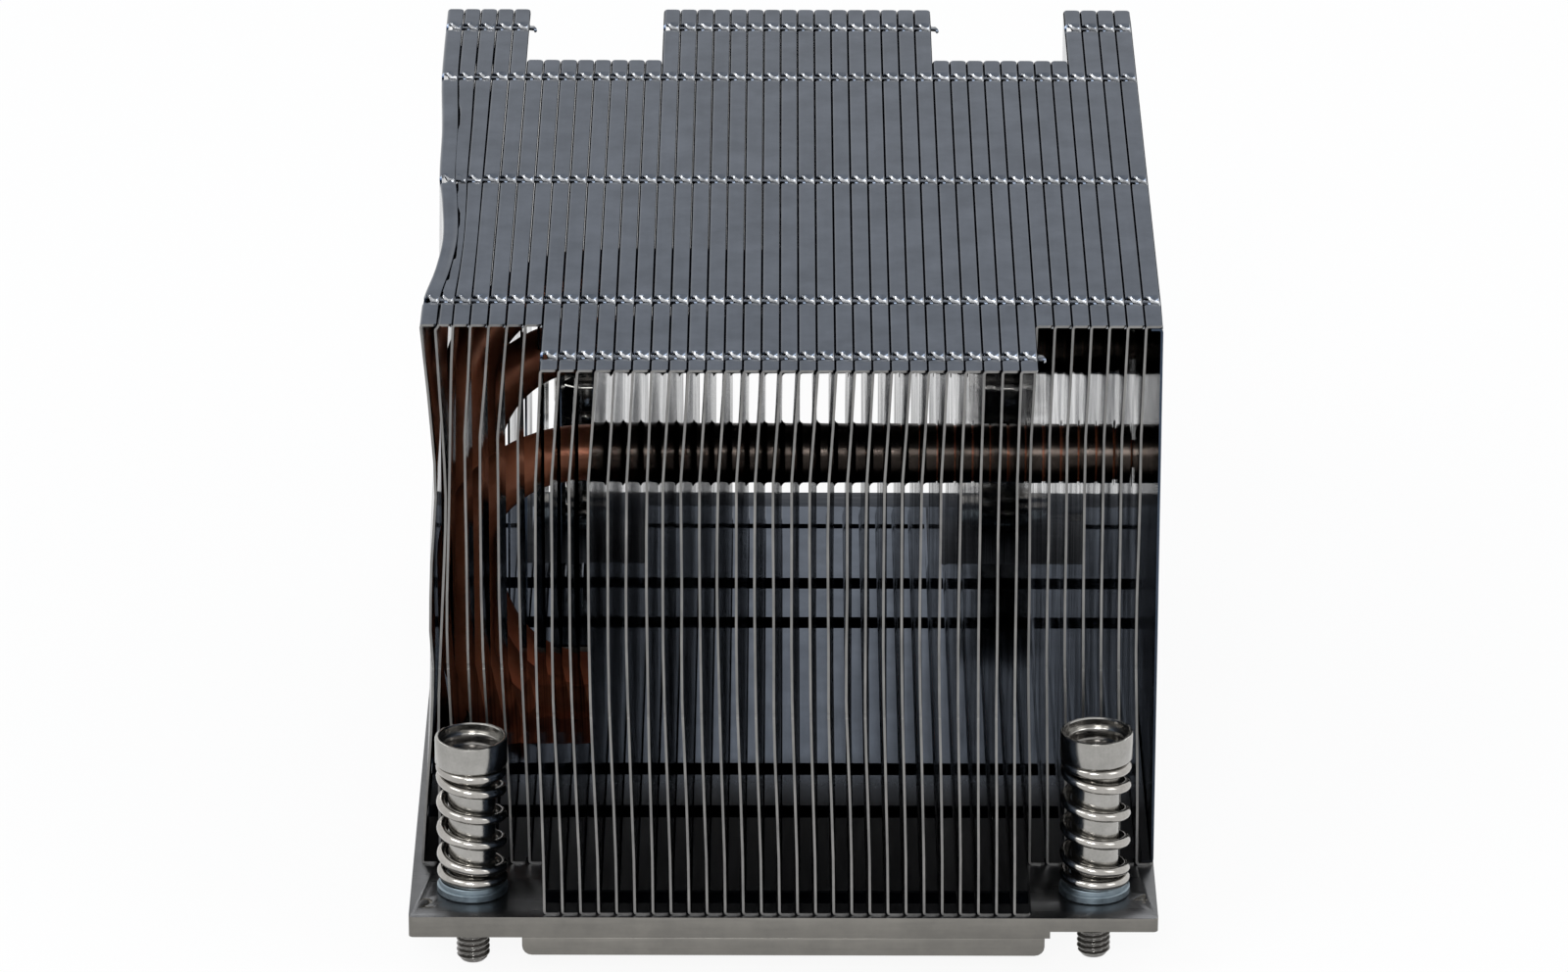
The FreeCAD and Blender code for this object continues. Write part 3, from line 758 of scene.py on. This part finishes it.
# the rear edge of a top window, and the line behind it where its pressed lip starts
CATCH_LIP = ((0.45, 1.14), (0.6, 1.0), (0.86, -0.2), (1.55, -0.48))
LIP_BACK = ((0.42, 1.31), (0.7, 1.16), (0.84, 0.8), (1.16, 0.1), (1.62, -0.12))
WINDOW_FRONT = ((1.6, -0.72), (1.0, -0.8), (0.62, -1.22))
# the hooked end of a tab, from the next fin's face, and the lines at which it is domed
TAB_HOOK = ((0.02, 1.1), (0.38, 1.02), (0.52, 0.84), (0.76, -0.26), (0.84, -0.68))
TAB_HOOK += ((0.62, -0.94), (0.48, -0.44), (0.04, -0.32), (-0.06, -1.1))
CREASES = (1.92, 2.02, 2.14)


def catch_shapes(row, reach):
    """The window of one catch, the tab that reaches into the next fin, and its creases."""
    wall, root = WALL_TOP - 0.2, on_top(1.7)
    window = [(on_top(x), row + y) for x, y in CATCH_LIP + WINDOW_FRONT]
    window = [(wall, row + 1.2), *window, (wall, row - 1.3)]
    if not reach:
        return window, [], []
    hook = [(on_top(PITCH + x), row + y) for x, y in TAB_HOOK]
    creases = [((on_top(x), row + 1.3), (on_top(x), row - 1.35)) for x in CREASES]
    return window, [[(root, row + 1.28), *hook, (root, row - 1.3)]], creases


def lip_slope(x, y):
    """1 on the rear lip of a window, falling to 0 a little behind it."""
    nearest = 1.0
    for (ax, ay), (bx, by) in zip(CATCH_LIP, CATCH_LIP[1:]):
        along_x, along_y = bx - ax, by - ay
        share = ((x - ax) * along_x + (y - ay) * along_y) / (along_x**2 + along_y**2)
        share = min(1.0, max(0.0, share))
        nearest = min(nearest, math.hypot(x - ax - share * along_x, y - ay - share * along_y))
    lip_width = 0.16 + 0.2 * ease((x - 0.6) / 0.5)
    return max(0.0, 1 - nearest / lip_width)


FOOT_WINDOW_HALF, LAST_WINDOW_HALF = 1.6, 0.7
FOOT_WINDOW_RISE = 0.7


def foot_window(row):
    """An opening in the foot flange, where the catch is tucked under."""
    half = LAST_WINDOW_HALF if row == FOOT_CATCHES[-1] else FOOT_WINDOW_HALF
    wall = WALL_FOOT + FOOT_WINDOW_RISE
    side, corner = on_foot(1.5), on_foot(1.66)
    front = [(wall, row - half), (side, row - half), (corner, row - half + 0.16)]
    return [(wall, row + half), *front, (corner, row + half - 0.16), (side, row + half)]


def pipe_hole(y, z, sides=32):
    return [(on_wall(z) + BORE * up, y + BORE * aside) for up, aside in around(sides)]


PIPE_ROUTES = [(leg_y / MM, leg_z / MM) for _, leg_y, leg_z in PIPES.values()]
# The opening round the pipe legs and bends: level and depth of its corners. It is wide
# at the knees and narrow at the crown, and open to the plate between the legs' feet.
BEND_OPENING = ((7.5, 22.2), (34.8, 28.6), (42.8, 28.6), (42.8, 12.6), (57.5, 12.6))
BEND_OPENING += ((57.5, -20.0), (55.5, -25.0), (22.0, -25.0), (7.5, -5.0))


def bend_opening():
    return [(-1, -5.0), (-1, 22.2)] + [(on_wall(z), y) for z, y in BEND_OPENING]


def through(stations, spot):
    """A smooth line through stations, each a place and a value, read at one spot."""
    if spot <= stations[0][0]:
        return stations[0][1]
    for k in range(1, len(stations)):
        (a, p), (b, q) = stations[k - 1], stations[k]
        if spot <= b:
            (c, r), (d, t) = stations[max(k - 2, 0)], stations[min(k + 1, len(stations) - 1)]
            share = (spot - a) / (b - a)
            leave, arrive = (q - r) / (b - c) * (b - a), (t - p) / (d - a) * (b - a)
            bend = (leave + (3 * (q - p) - 2 * leave - arrive) * share) * share
            return p + bend + (leave + arrive - 2 * (q - p)) * share**3
    return stations[-1][1]


# The left side has taken a knock. The top edge of the first sheet is pushed in by up to
# 2 mm, more or less along its whole length, and rides over the second; the front edges
# of the first two bulge to the right, the others to the left, most at mid-height.
# By depth, how far the first top edge is pushed in.
TOP_PUSH = ((-36.1, 0.5), (-28, 0.62), (-19.5, 1.5), (-10, 1.97), (1.5, 1.5))
TOP_PUSH += ((9, 0.98), (24.5, 0.7), (40, 0.12), (52, 0))
# what share of it the fold and the tip of each flange take
TOP_SHARES = {1: (1.0, 0.87), 2: (0.28, 0.28), 3: (0.2, 0.06)}
# by level, how far a front edge stands to the right
FRONT_BULGE = {
    1: ((4.2, 0), (12, 0.5), (20, 1.1), (26.5, 1.38), (29, 1.18))
    + ((38, 1.32), (46, 1.84), (54, 1.35), (64, 0.5)),
    2: ((4.2, 0), (22, 0.02), (31, 0.4), (38, 0.76))
    + ((45, 1.02), (52, 0.8), (58, 0.45), (64, 0.14)),
    3: ((4.2, 0), (21, -0.6), (28, -0.84), (33, -0.85), (38, -0.72))
    + ((44, -0.56), (52, -0.37), (60, -0.1), (64, 0.1)),
}
# how far the other fins bow to the left: some by number, the rest up to a number
LEFT_BOWS = {4: 0.68, 5: 0.98, 6: 1.06, 7: 0.85, 8: 0.62, 9: 0.85, 10: 0.9, 11: 0.84}
LEFT_BOWS |= {14: 0.5, 30: 0.52, 31: 0.42}
USUAL_BOWS = ((25, 0.73), (32, 0.66), (35, 0.28), (FIN_COUNT + 1, 0.4))
BOW_END = -4.0
STRIP_FROM, STRIP_FADE = -22, 30


def wall_shift(number, x, y, z, front):
    """How far to the right a point of a fin stands from where the fold should have put it."""
    height = (z - foot_level) / (top_level - foot_level)
    # the narrow strip in front of a bend opening moves as one
    faded = (y - STRIP_FROM) / STRIP_FADE if number in WINDOWED else (y - front) / (BOW_END - front)
    forward = 1 - ease(faded)
    if number not in FRONT_BULGE:
        usual = next(bow for before, bow in USUAL_BOWS if number < before)
        return -LEFT_BOWS.get(number, usual) * ease(height / 0.5) * ease((1 - height) / 0.22) * forward
    bulge = FRONT_BULGE[number]
    corner, tip = TOP_SHARES[number]
    share = corner + (tip - corner) * min(1.0, max(0.0, x / FLANGE))
    top = through(TOP_PUSH, y) * share - bulge[-1][1] * forward
    return through(bulge, z) * forward + top * ease((height - 0.3) / 0.7)


CREST_DROP = 0.13
TUCK_DROP, TUCKED_SHARE = 0.32, 0.59


def flange_drop(number, x, y):
    """The knock tucks the second flange under the first, whose tip it turns up."""
    push = through(TOP_PUSH, y)
    if number == 1:
        return CREST_DROP * ease((push - 0.8) / 1.2) * ease(x / 0.6) * ease((FLANGE - 0.1 - x) / 0.4)
    if number == 2:
        covered = TUCKED_SHARE * push - 0.02
        return TUCK_DROP * ease(push / 0.5) * (1 - ease((x - covered) / 0.15))
    return 0.0


# rolled sheet is never quite flat: waves along and up the wall, in radians a millimetre
SLOW_WAVES = ((0.05, 0.14), (0.06, 0.16))
QUICK_WAVES = ((0.15, 0.4), (0.1, 0.3))
WAVE_HEIGHT = 0.03
TIP_ROLL, TAB_DOME = 0.07, 0.14
WINDOW_DIP, LIP_SINK = 0.1, 0.15
FLANGE_CREASES = (0.75, 1.1, 1.4)
NIB_LEVEL = 26.4
NIB_NOTCH = ((-0.4, -0.1), (-0.2, 0.1), (0.2, 0.1), (0.4, -0.1))
FINE_GRID, USUAL_GRID = (24, 16), (12, 10)


def fin_mesh(number):
    label = "fin_%02d" % number
    low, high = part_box(label)
    left, front, rear = low.x / MM, low.y / MM, high.y / MM
    dice = random.Random(number)
    waves = [
        (dice.uniform(*along), dice.uniform(0, 6.3), dice.uniform(*upward), dice.uniform(0, 6.3))
        for along, upward in 3 * [SLOW_WAVES] + 2 * [QUICK_WAVES]
    ]

    def place(s, y):
        x, z = fold_strip(s, FLANGE, foot_level, top_level)
        ripple = sum(math.sin(a * y + b) * math.sin(c * z + d) for a, b, c, d in waves)
        height = (z - foot_level) / (top_level - foot_level)
        aside = WAVE_HEIGHT * ripple * ease(height / 0.4) * ease((1 - height) / 0.2)
        aside += wall_shift(number, x, y, z, front)
        if z > top_level - 1:
            z -= flange_drop(number, x, y)
        row = nearest_catch(y)
        if x > FLANGE - 0.2 and not (number == 1 and z > 60 and through(TOP_PUSH, y) > 1):
            # the sheared tip rolls over a little; a tab is domed and dips into its window
            dome = TAB_DOME * (y - row + 0.1) ** 2 * ease((x - FLANGE + 0.02) / 0.12)
            sink = TIP_ROLL * ease((x - FLANGE + 0.2) / 0.2) + dome
            z += -sink if z > top_level - 1 else sink
        elif z > top_level - 0.01:
            # each window has a pressed lip behind it, which carries a painted glint, and a shallow dip
            # in front
            if y < row - 0.6 and x > 0.9:
                dip = WINDOW_DIP * ease((y - row + 1.7) / 0.7)
                z -= dip * ease((x - 0.9) / 0.2) * ease((1.7 - x) / 0.1)
            elif abs(y - row) < 1.6:
                z -= LIP_SINK * lip_slope(x, y - row)
        return Vector((left + x + aside, y, z))

    def has_room(row):
        return front + CATCH_ROOM < row < rear - CATCH_ROOM

    def lengthwise(s):
        return (s, front), (s, rear)

    holes, tabs, folds = [], [], []
    for row in filter(has_room, TOP_CATCHES):
        window, tab, creases = catch_shapes(row, number < FIN_COUNT)
        holes.append(window)
        tabs += tab
        folds += creases
        sides = (row - 1.75, row - 1.35, row + 1.7)
        folds += [((on_top(BEND), side), (STRIP_END, side)) for side in sides]
        lip = [(on_top(x), row + y) for x, y in LIP_BACK]
        folds += zip(lip, lip[1:])
    holes += [foot_window(row) for row in filter(has_room, FOOT_CATCHES)]
    for x in TIP_LINES:
        folds += [lengthwise(on_top(x)), lengthwise(on_foot(x))]
    if number in WINDOWED:
        holes.append(bend_opening())
    elif number > WINDOWED[-1]:
        holes += [pipe_hole(y, z) for y, z in PIPE_ROUTES]
    nib = on_wall(NIB_LEVEL)
    holes.append([(nib + s, front + y) for s, y in NIB_NOTCH])
    for turned in BEND_TURNS:
        folds += [lengthwise(FOOT_FOLD + turned), lengthwise(WALL_TOP + turned)]
    dimples = []
    knocked = number in FRONT_BULGE
    columns, levels = FINE_GRID if knocked else USUAL_GRID
    for column in range(columns + 1):
        y = front + (rear - front) * column / columns
        for level in range(1, levels):
            dimples.append((WALL_FOOT + (WALL_TOP - WALL_FOOT) * level / levels, y))
    if knocked:
        folds += [lengthwise(on_top(x)) for x in FLANGE_CREASES]
        lines = [WALL_TOP + turned for turned in BEND_TURNS] + [STRIP_END]
        lines += [on_top(x) for x in FLANGE_CREASES + TIP_LINES]
        for column in range(1, 2 * columns):
            y = front + (rear - front) * column / (2 * columns)
            dimples += [(line, y) for line in lines]

    def finish_of(s, y, facing):
        """A face of the sheet, or, with its y direction, a face of the sheet's cut edge."""
        # painted seam shade beside each seam and on the flange tips; painted glints on the window lips
        if facing is None:
            beside_seam = number > 1 and WALL_TOP < s < WALL_TOP + BEND_ARC / 2
            if beside_seam or on_top(TIP_LINES[-1]) < s < STRIP_END:
                return SEAM_SHADE
            if not TOP_FOLD < s < STRIP_END:
                return PLATED
            return PAINTED_GLINT if lip_slope(s - TOP_FOLD + BEND, y - nearest_catch(y)) > 0.15 else PLATED
        # cut front and rear edges: bare metal, partly a painted highlight; rims up top: painted glints
        # facing the front, painted seam shade facing back
        if min(y - front, rear - y) < 0.3:
            return BARE_EDGE_AND_HIGHLIGHT if abs(facing) > 0.5 else PLATED
        if s > WALL_TOP:
            return PAINTED_GLINT if facing < -0.3 else SEAM_SHADE
        return PLATED

    parts = stamped_sheet(rounded_strip(front, rear), tabs, holes, folds, dimples, place, finish_of)
    if number > WINDOWED[-1]:
        add_collars(parts, left)
    return sheet_mesh(label + "_folded", *parts)


# drawn collars grip the tubes: a flare at the wall, then a thin sleeve to the right
COLLAR = ((0.12, 3.62), (0.3, 3.42), (0.42, 3.24), (0.62, 3.14), (1.66, 3.11))
COLLAR += ((1.66, 2.97), (0.3, 2.97), (0.0, 3.2), (0.0, 3.5))


def add_collars(parts, left, sides=30):
    vertices, faces, corner_normals, finishes = parts
    count = len(COLLAR)
    turns = around(sides)
    for y, z in PIPE_ROUTES:
        start = len(vertices)
        for upward, aside in turns:
            for x, radius in COLLAR:
                vertices.append(Vector((left + x, y + radius * aside, z + radius * upward)) * MM)
        for k in range(sides):
            after_k = (k + 1) % sides
            here, there = start + k * count, start + after_k * count
            for n in range(count):
                after = (n + 1) % count
                faces.append((here + n, here + after, there + after, there + n))
                finishes.append(SOLDERED)
                (x0, r0), (x1, r1) = COLLAR[n], COLLAR[after]
                out = Vector((r0 - r1, 0, x1 - x0)).normalized()
                for upward, aside in (turns[k], turns[k], turns[after_k], turns[after_k]):
                    corner_normals.append(Vector((out.x, out.z * aside, out.z * upward)))


dark_plating = metal_finish(
    "dark_plating",
    (0.026, 0.04, 0.064),
    (0.074, 0.093, 0.128),
    (0.07, 0.14),
    1500.0,
    0.1,
    (1.0, 0.06, 0.06),
    stain=0.65,
    edge=0.86,
    # painted shade: the front part of the foot flanges is darkened
    painted_shade=((0.0046, 0.0068), (-0.024, -0.008), (0.016, 0.017, 0.02)),
)
# levels in metres: where the painted shade thins out upwards, and where the foot flanges end
SHADE_FADES = (0.022, 0.036)
FLANGES_END = (0.0047, 0.0054)
SHADE_THICKNESS = (0.06, 0.55)


def painted_wall_shade(tree, place):
    """Painted shade low on the walls, in soft upright streaks; the foot flanges are left out of it."""
    level = add_node(tree, "SeparateXYZ", {"Vector": place}).outputs["Z"]
    lower = ramp(tree, level, SHADE_FADES, (1, 0))
    off_foot = ramp(tree, level, FLANGES_END, (0, 1))
    streaks = noise(tree, stretched(tree, place, (1, 1, 0.12)), 260.0, 3)
    thickness = ramp(tree, streaks, (0.38, 0.62), SHADE_THICKNESS)
    return maths(tree, "MULTIPLY", maths(tree, "MULTIPLY", lower, off_foot), thickness)


# painted shade on the lower walls, as a dark diffuse layer
cover(dark_plating, (0.012, 0.014, 0.018), painted_wall_shade)
# the cut edges show bare metal, and are made lighter in part as a painted highlight
bare_edge_and_highlight = metal_finish(
    "bare_edge_and_highlight", (0.15, 0.15, 0.15), (0.3, 0.295, 0.285), (0.3, 0.45), 3000.0, 0.2, (1.0, 1.0, 0.2)
)
# painted glints: a much lighter copy of the plating on the window lips and on the front-facing rims up
# top
painted_glint_rim = metal_finish(
    "painted_glint_rim", (0.08, 0.09, 0.105), (0.72, 0.74, 0.77), (0.12, 0.3), 700.0, 0.3, stain=0.6
)
# near-black painted shade for the seams between fins and the solder in the foot windows
painted_seam_shade = metal_finish(
    "painted_seam_shade", (0.004, 0.005, 0.008), (0.012, 0.014, 0.02), (0.5, 0.7), 3000.0, 0.3, edge=0.3
)
soldered_collar = metal_finish(
    "soldered_collar", (0.045, 0.036, 0.031), (0.13, 0.105, 0.09), (0.25, 0.42), 900.0, 0.4, stain=0.7
)
FIN_FINISHES = (dark_plating, bare_edge_and_highlight, painted_glint_rim, painted_seam_shade, soldered_collar)
for number in range(1, FIN_COUNT + 1):
    node = "fin_%02d" % number
    fin_piece = add_piece(node + "_folded", fin_mesh(number), "root", "plated_fins", *FIN_FINISHES)
    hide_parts(node)

# -------- solder
# A thin layer of solder joins the fins' feet to the plate. It shows at the bottom of the windows in the
# foot flanges, in near-black painted shade.
SOLDER = 0.04 * MM
SOLDER_INSET = 0.25 * MM


def stack_cutter(first, after, low_y, high_y):
    """A temporary box over the fins from one number up to another."""
    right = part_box("fin_%02d" % after)[0].x if after <= FIN_COUNT else end_high.x + SPARE
    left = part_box("fin_%02d" % first)[0].x if first > 1 else -1
    return box_blank((left, low_y, plate_high.z - SPARE), (right, high_y, above))


end_low, end_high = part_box("end_fin")
long_low, long_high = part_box("fin_20")
short_front, short_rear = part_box("fin_01")[0].y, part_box("fin_08")[1].y
solder = box_blank(
    (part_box("fin_01")[0].x + SOLDER_INSET, long_low.y + SOLDER_INSET, plate_high.z),
    (end_high.x - SOLDER_INSET, long_high.y - SOLDER_INSET, plate_high.z + SOLDER),
)
# the solder stays under the fins: less the cut front corners, the notches and the window
solder_cutters = [stack_cutter(*fins, -1, short_front + SOLDER_INSET) for fins in ((1, 8), (35, 42))]
solder_cutters += [stack_cutter(*fins, short_rear - SOLDER_INSET, 1) for fins in ((6, 14), (30, 38))]
solder_cutters.append(box_blank(window_below, window_above))
solder_mesh = cut_solid("solder_layer", solder, solder_cutters, 0)
add_piece("solder_layer", solder_mesh, "root", "plated_fins", painted_seam_shade)

# -------- end sheet
# The plain sheet that closes the last channel on the right: its two short lips turn
# back under the last fin's flanges.
LIP = 1.2


def place_end(s, y):
    x, z = fold_strip(s, LIP, end_low.z / MM, end_high.z / MM)
    return Vector((end_high.x / MM - x, y, z))


end_front, end_rear = end_low.y / MM, end_high.y / MM
end_foot_fold, _, _, end_top_fold, end_width = strip_folds(LIP, end_low.z / MM, end_high.z / MM)
end_folds = []
for turned in BEND_TURNS:
    for s in (end_foot_fold + turned, end_top_fold - turned):
        end_folds.append(((s, end_front), (s, end_rear)))
end_outline = [(0, end_front), (end_width, end_front), (end_width, end_rear), (0, end_rear)]
end_parts = stamped_sheet(end_outline, [], [], end_folds, [], place_end, left_handed=True)
end_mesh = sheet_mesh("end_fin_folded", *end_parts)
end_piece = add_piece("end_fin_folded", end_mesh, "root", "plated_fins", dark_plating)
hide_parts("end_fin")


# -------- washers
# A turned steel washer under each spring, zinc plated, with a low rim that keeps the
# last coil in the middle.
def lathe(name, profile, x, y, sides=48, close=True):
    """A turned piece from (height, radius) steps; a radius may be a function of angle."""
    rings = []
    for z, radius in profile:
        ring = []
        for k in range(sides):
            angle = 2 * math.pi * k / sides
            r = radius(angle) if callable(radius) else radius
            ring.append(Vector((x + r * math.cos(angle), y + r * math.sin(angle), z)))
        rings.append(ring)
    return skin_rings(name, rings, close)


zinc = metal_finish(
    "blue_zinc", (0.16, 0.21, 0.25), (0.3, 0.36, 0.4), (0.3, 0.5), 2500.0, 0.3
)
WASHER_RADIUS = 3.65 * MM
WASHER_HOLE = 2.6 * MM
# up from the plate, and down from the spring: each step, and how far it stands in
WASHER_RIM = ((0, 0.1), (0.1, 0), (0.72, 0), (0.8, 0.08), (0.84, 0.22))
WASHER_SEAT = ((0.08, 0.26), (0, 0.34))
washer_low, washer_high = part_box("washers")
for corner in CORNERS:
    x, y = screw_axis(corner)
    low, high = washer_low.z, washer_high.z
    profile = [(low, WASHER_HOLE)]
    profile += [(low + rise * MM, WASHER_RADIUS - less * MM) for rise, less in WASHER_RIM]
    profile += [(high - down * MM, WASHER_RADIUS - less * MM) for down, less in WASHER_SEAT]
    profile += [(high, WASHER_HOLE + 0.1 * MM), (high - 0.1 * MM, WASHER_HOLE), (low, WASHER_HOLE)]
    mesh = lathe("washer_" + corner, profile, x, y, close=False)
    smooth_by_angle(mesh, 35)
    add_piece("washer_" + corner, mesh, "root", "zinc_washers", zinc)
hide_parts("washers")


# -------- springs
# A compression spring of round steel wire, wound left-handed with closed ends ground
# flat. It stands on its washer and lifts the screw's head.
SPRING_WIRE = 1.05 * MM
SPRING_TURNS = 5.5
COIL_RADIUS = 3.65 * MM - SPRING_WIRE / 2
GROUND_OFF = 0.22 * MM
WIRE_SIDES = 14
STEPS_PER_TURN = 36


def spring_mesh(corner):
    low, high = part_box("spring_" + corner)
    x, y = screw_axis(corner)
    length = high.z - low.z
    open_turns = SPRING_TURNS - 2
    pitch = (length - 3 * SPRING_WIRE) / open_turns
    rings = []
    for step in range(int(SPRING_TURNS * STEPS_PER_TURN) + 1):
        turn = step / STEPS_PER_TURN
        rise = SPRING_WIRE * min(turn, 1)
        rise += pitch * min(max(turn - 1, 0), open_turns)
        rise += SPRING_WIRE * max(turn - 1 - open_turns, 0)
        outward = Vector((math.cos(-2 * math.pi * turn), math.sin(-2 * math.pi * turn), 0))
        ring = []
        for out, up in around(WIRE_SIDES):
            spot = outward * (COIL_RADIUS + SPRING_WIRE / 2 * out)
            z = SPRING_WIRE / 2 * (1 + up) + rise
            # both ends are ground flat
            z = min(max(z, GROUND_OFF), length - GROUND_OFF)
            z = (z - GROUND_OFF) * length / (length - 2 * GROUND_OFF)
            ring.append(Vector((x, y, low.z + z)) + spot)
        rings.append(ring)
    mesh = skin_rings("spring_" + corner, rings)
    smooth_by_angle(mesh, 50)
    return mesh, low.z, length


spring_steel = metal_finish(
    "spring_steel", (0.26, 0.25, 0.235), (0.52, 0.5, 0.47), (0.14, 0.22), 2500.0, 0.06
)
for corner in CORNERS:
    mesh, seat, length = spring_mesh(corner)
    spring_piece = add_piece("spring_coil_" + corner, mesh, "root", "bright_steel", spring_steel)
    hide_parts("spring_" + corner)
    x, y = screw_axis(corner)
    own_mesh(spring_piece)


# -------- retainers
# A thin pressed ring on the screw's neck under the plate. It stops the screw from
# coming out, and moves down with it.
RETAINER_EDGE = 3.2 * MM
RETAINER_RADIUS = 3.35 * MM
TEETH, TOOTH_TIP, TOOTH_ROOM = 6, 1.5, 0.35
turned_nickel = metal_finish(
    "turned_nickel", (0.26, 0.255, 0.24), (0.46, 0.45, 0.43), (0.16, 0.26), 3500.0, 0.1
)
# a darker finish: the threads are darker, and the inside of the head's cup takes it as painted shade
darker_threads_and_cup_shade = metal_finish(
    "darker_threads_and_cup_shade", (0.1, 0.098, 0.092), (0.26, 0.25, 0.24), (0.14, 0.24), 3500.0, 0.15
)


def toothed(angle):
    """The inner edge: teeth that bite the neck, with round gaps between them."""
    off_tooth = abs(((TEETH * angle / (2 * math.pi)) % 1) - 0.5)
    return (TOOTH_TIP + TOOTH_ROOM * ease(off_tooth * 6 - 2.0)) * MM


for corner in CORNERS:
    low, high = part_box("retainer_" + corner)
    x, y = screw_axis(corner)
    profile = [
        (low.z, toothed),
        (low.z, RETAINER_EDGE),
        (low.z + 0.1 * MM, RETAINER_RADIUS),
        (high.z - 0.15 * MM, RETAINER_RADIUS),
        (high.z, RETAINER_EDGE),
        (high.z, toothed),
        (low.z, toothed),
    ]
    mesh = lathe("retainer_ring_" + corner, profile, x, y, close=False)
    smooth_by_angle(mesh, 35)
    ring_piece = add_piece(
        "retainer_ring_" + corner, mesh, "retainer_" + corner, "bright_steel", turned_nickel
    )
    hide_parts("retainer_" + corner)

# -------- screws
# Turned and nickel plated: a cup head with a six-lobed socket at its bottom, a plain
# shoulder that the spring goes round, a neck for the retainer and a threaded end.
HEAD_RADIUS = 3.72
HEAD_HEIGHT = 3.0
CUP_RADIUS = 3.25
CUP_DEPTH = 2.1
SHOULDER_RADIUS = 2.45
NECK_RADIUS = 1.45
THREAD_RADIUS = 1.72
THREAD_DEPTH = 0.32
THREAD_PITCH = 0.6
SCREW_SIDES = 60
# turned steps: above or below the head's seat or its crown, and out from a radius
SHOULDER_END = ((-0.5, 0), (-0.42, -0.12), (0, -0.12))
HEAD_FOOT = ((0, -0.3), (0.08, -0.12), (0.25, 0))
HEAD_CROWN = ((-0.2, 0), (-0.06, -0.06), (0, -0.2))
CUP_WALL = ((0, 0.12), (-0.12, 0), (-0.85, 0), (-0.9, -0.4), (-1.0, -0.48))


def socket(angle):
    """Six round lobes."""
    return (1.42 + 0.2 * math.cos(6 * angle)) * MM


def thread_crest(z, tip):
    def radius(angle):
        phase = (z / THREAD_PITCH - angle / (2 * math.pi)) % 1
        groove = THREAD_DEPTH * ease(1.35 * abs(2 * phase - 1) - 0.15)
        chamfer = max(0.0, 0.62 - (z - tip)) * 0.8
        return (THREAD_RADIUS - max(groove, chamfer)) * MM

    return radius


def screw_mesh(corner):
    low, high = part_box("screw_" + corner)
    x, y = screw_axis(corner)
    tip, crown = low.z / MM, high.z / MM
    seat = crown - HEAD_HEIGHT
    retainer_low, retainer_high = (point.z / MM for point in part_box("retainer_" + corner))
    profile = [(tip, 0.02), (tip, 1.05)]
    z = tip + 0.02
    while z < retainer_low - 0.3:
        profile.append((z, thread_crest(z, tip)))
        z += 0.05
    profile += [(retainer_low - 0.28, THREAD_RADIUS - 0.1), (retainer_low - 0.24, NECK_RADIUS)]
    profile += [(retainer_high + 0.05, NECK_RADIUS), (retainer_high + 0.05, SHOULDER_RADIUS - 0.2)]
    profile.append((retainer_high + 0.25, SHOULDER_RADIUS))
    for base, radius, turned in (
        (seat, SHOULDER_RADIUS, SHOULDER_END),
        (seat, HEAD_RADIUS, HEAD_FOOT),
        (crown, HEAD_RADIUS, HEAD_CROWN),
        (crown, CUP_RADIUS, CUP_WALL),
    ):
        profile += [(base + rise, radius + wider) for rise, wider in turned]
    floor = crown - CUP_DEPTH
    profile += [(floor + 0.15, CUP_RADIUS - 0.5), (floor, CUP_RADIUS - 0.65), (floor + 0.02, 1.75)]
    profile += [(floor - 0.06, socket), (floor - 1.2, socket), (floor - 1.5, 0.4), (floor - 1.55, 0.02)]
    steps = [(z * MM, r if callable(r) else r * MM) for z, r in profile]
    mesh = lathe("screw_turned_" + corner, steps, x, y, SCREW_SIDES)
    smooth_by_angle(mesh, 38)
    # the inside of the cup gets the darker finish as painted shade; the threads get it as their darker
    # tone
    for face in mesh.polygons:
        out = math.hypot(face.center.x - x, face.center.y - y) / MM
        in_cup = face.center.z / MM > seat and out < CUP_RADIUS - 0.45
        if in_cup or face.center.z / MM < retainer_low - 0.2:
            face.material_index = 1
    return mesh


for corner in CORNERS:
    screw_piece = add_piece(
        "screw_turned_" + corner,
        screw_mesh(corner),
        "screw_" + corner,
        "bright_steel",
        turned_nickel,
        darker_threads_and_cup_shade,
    )
    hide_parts("screw_" + corner)
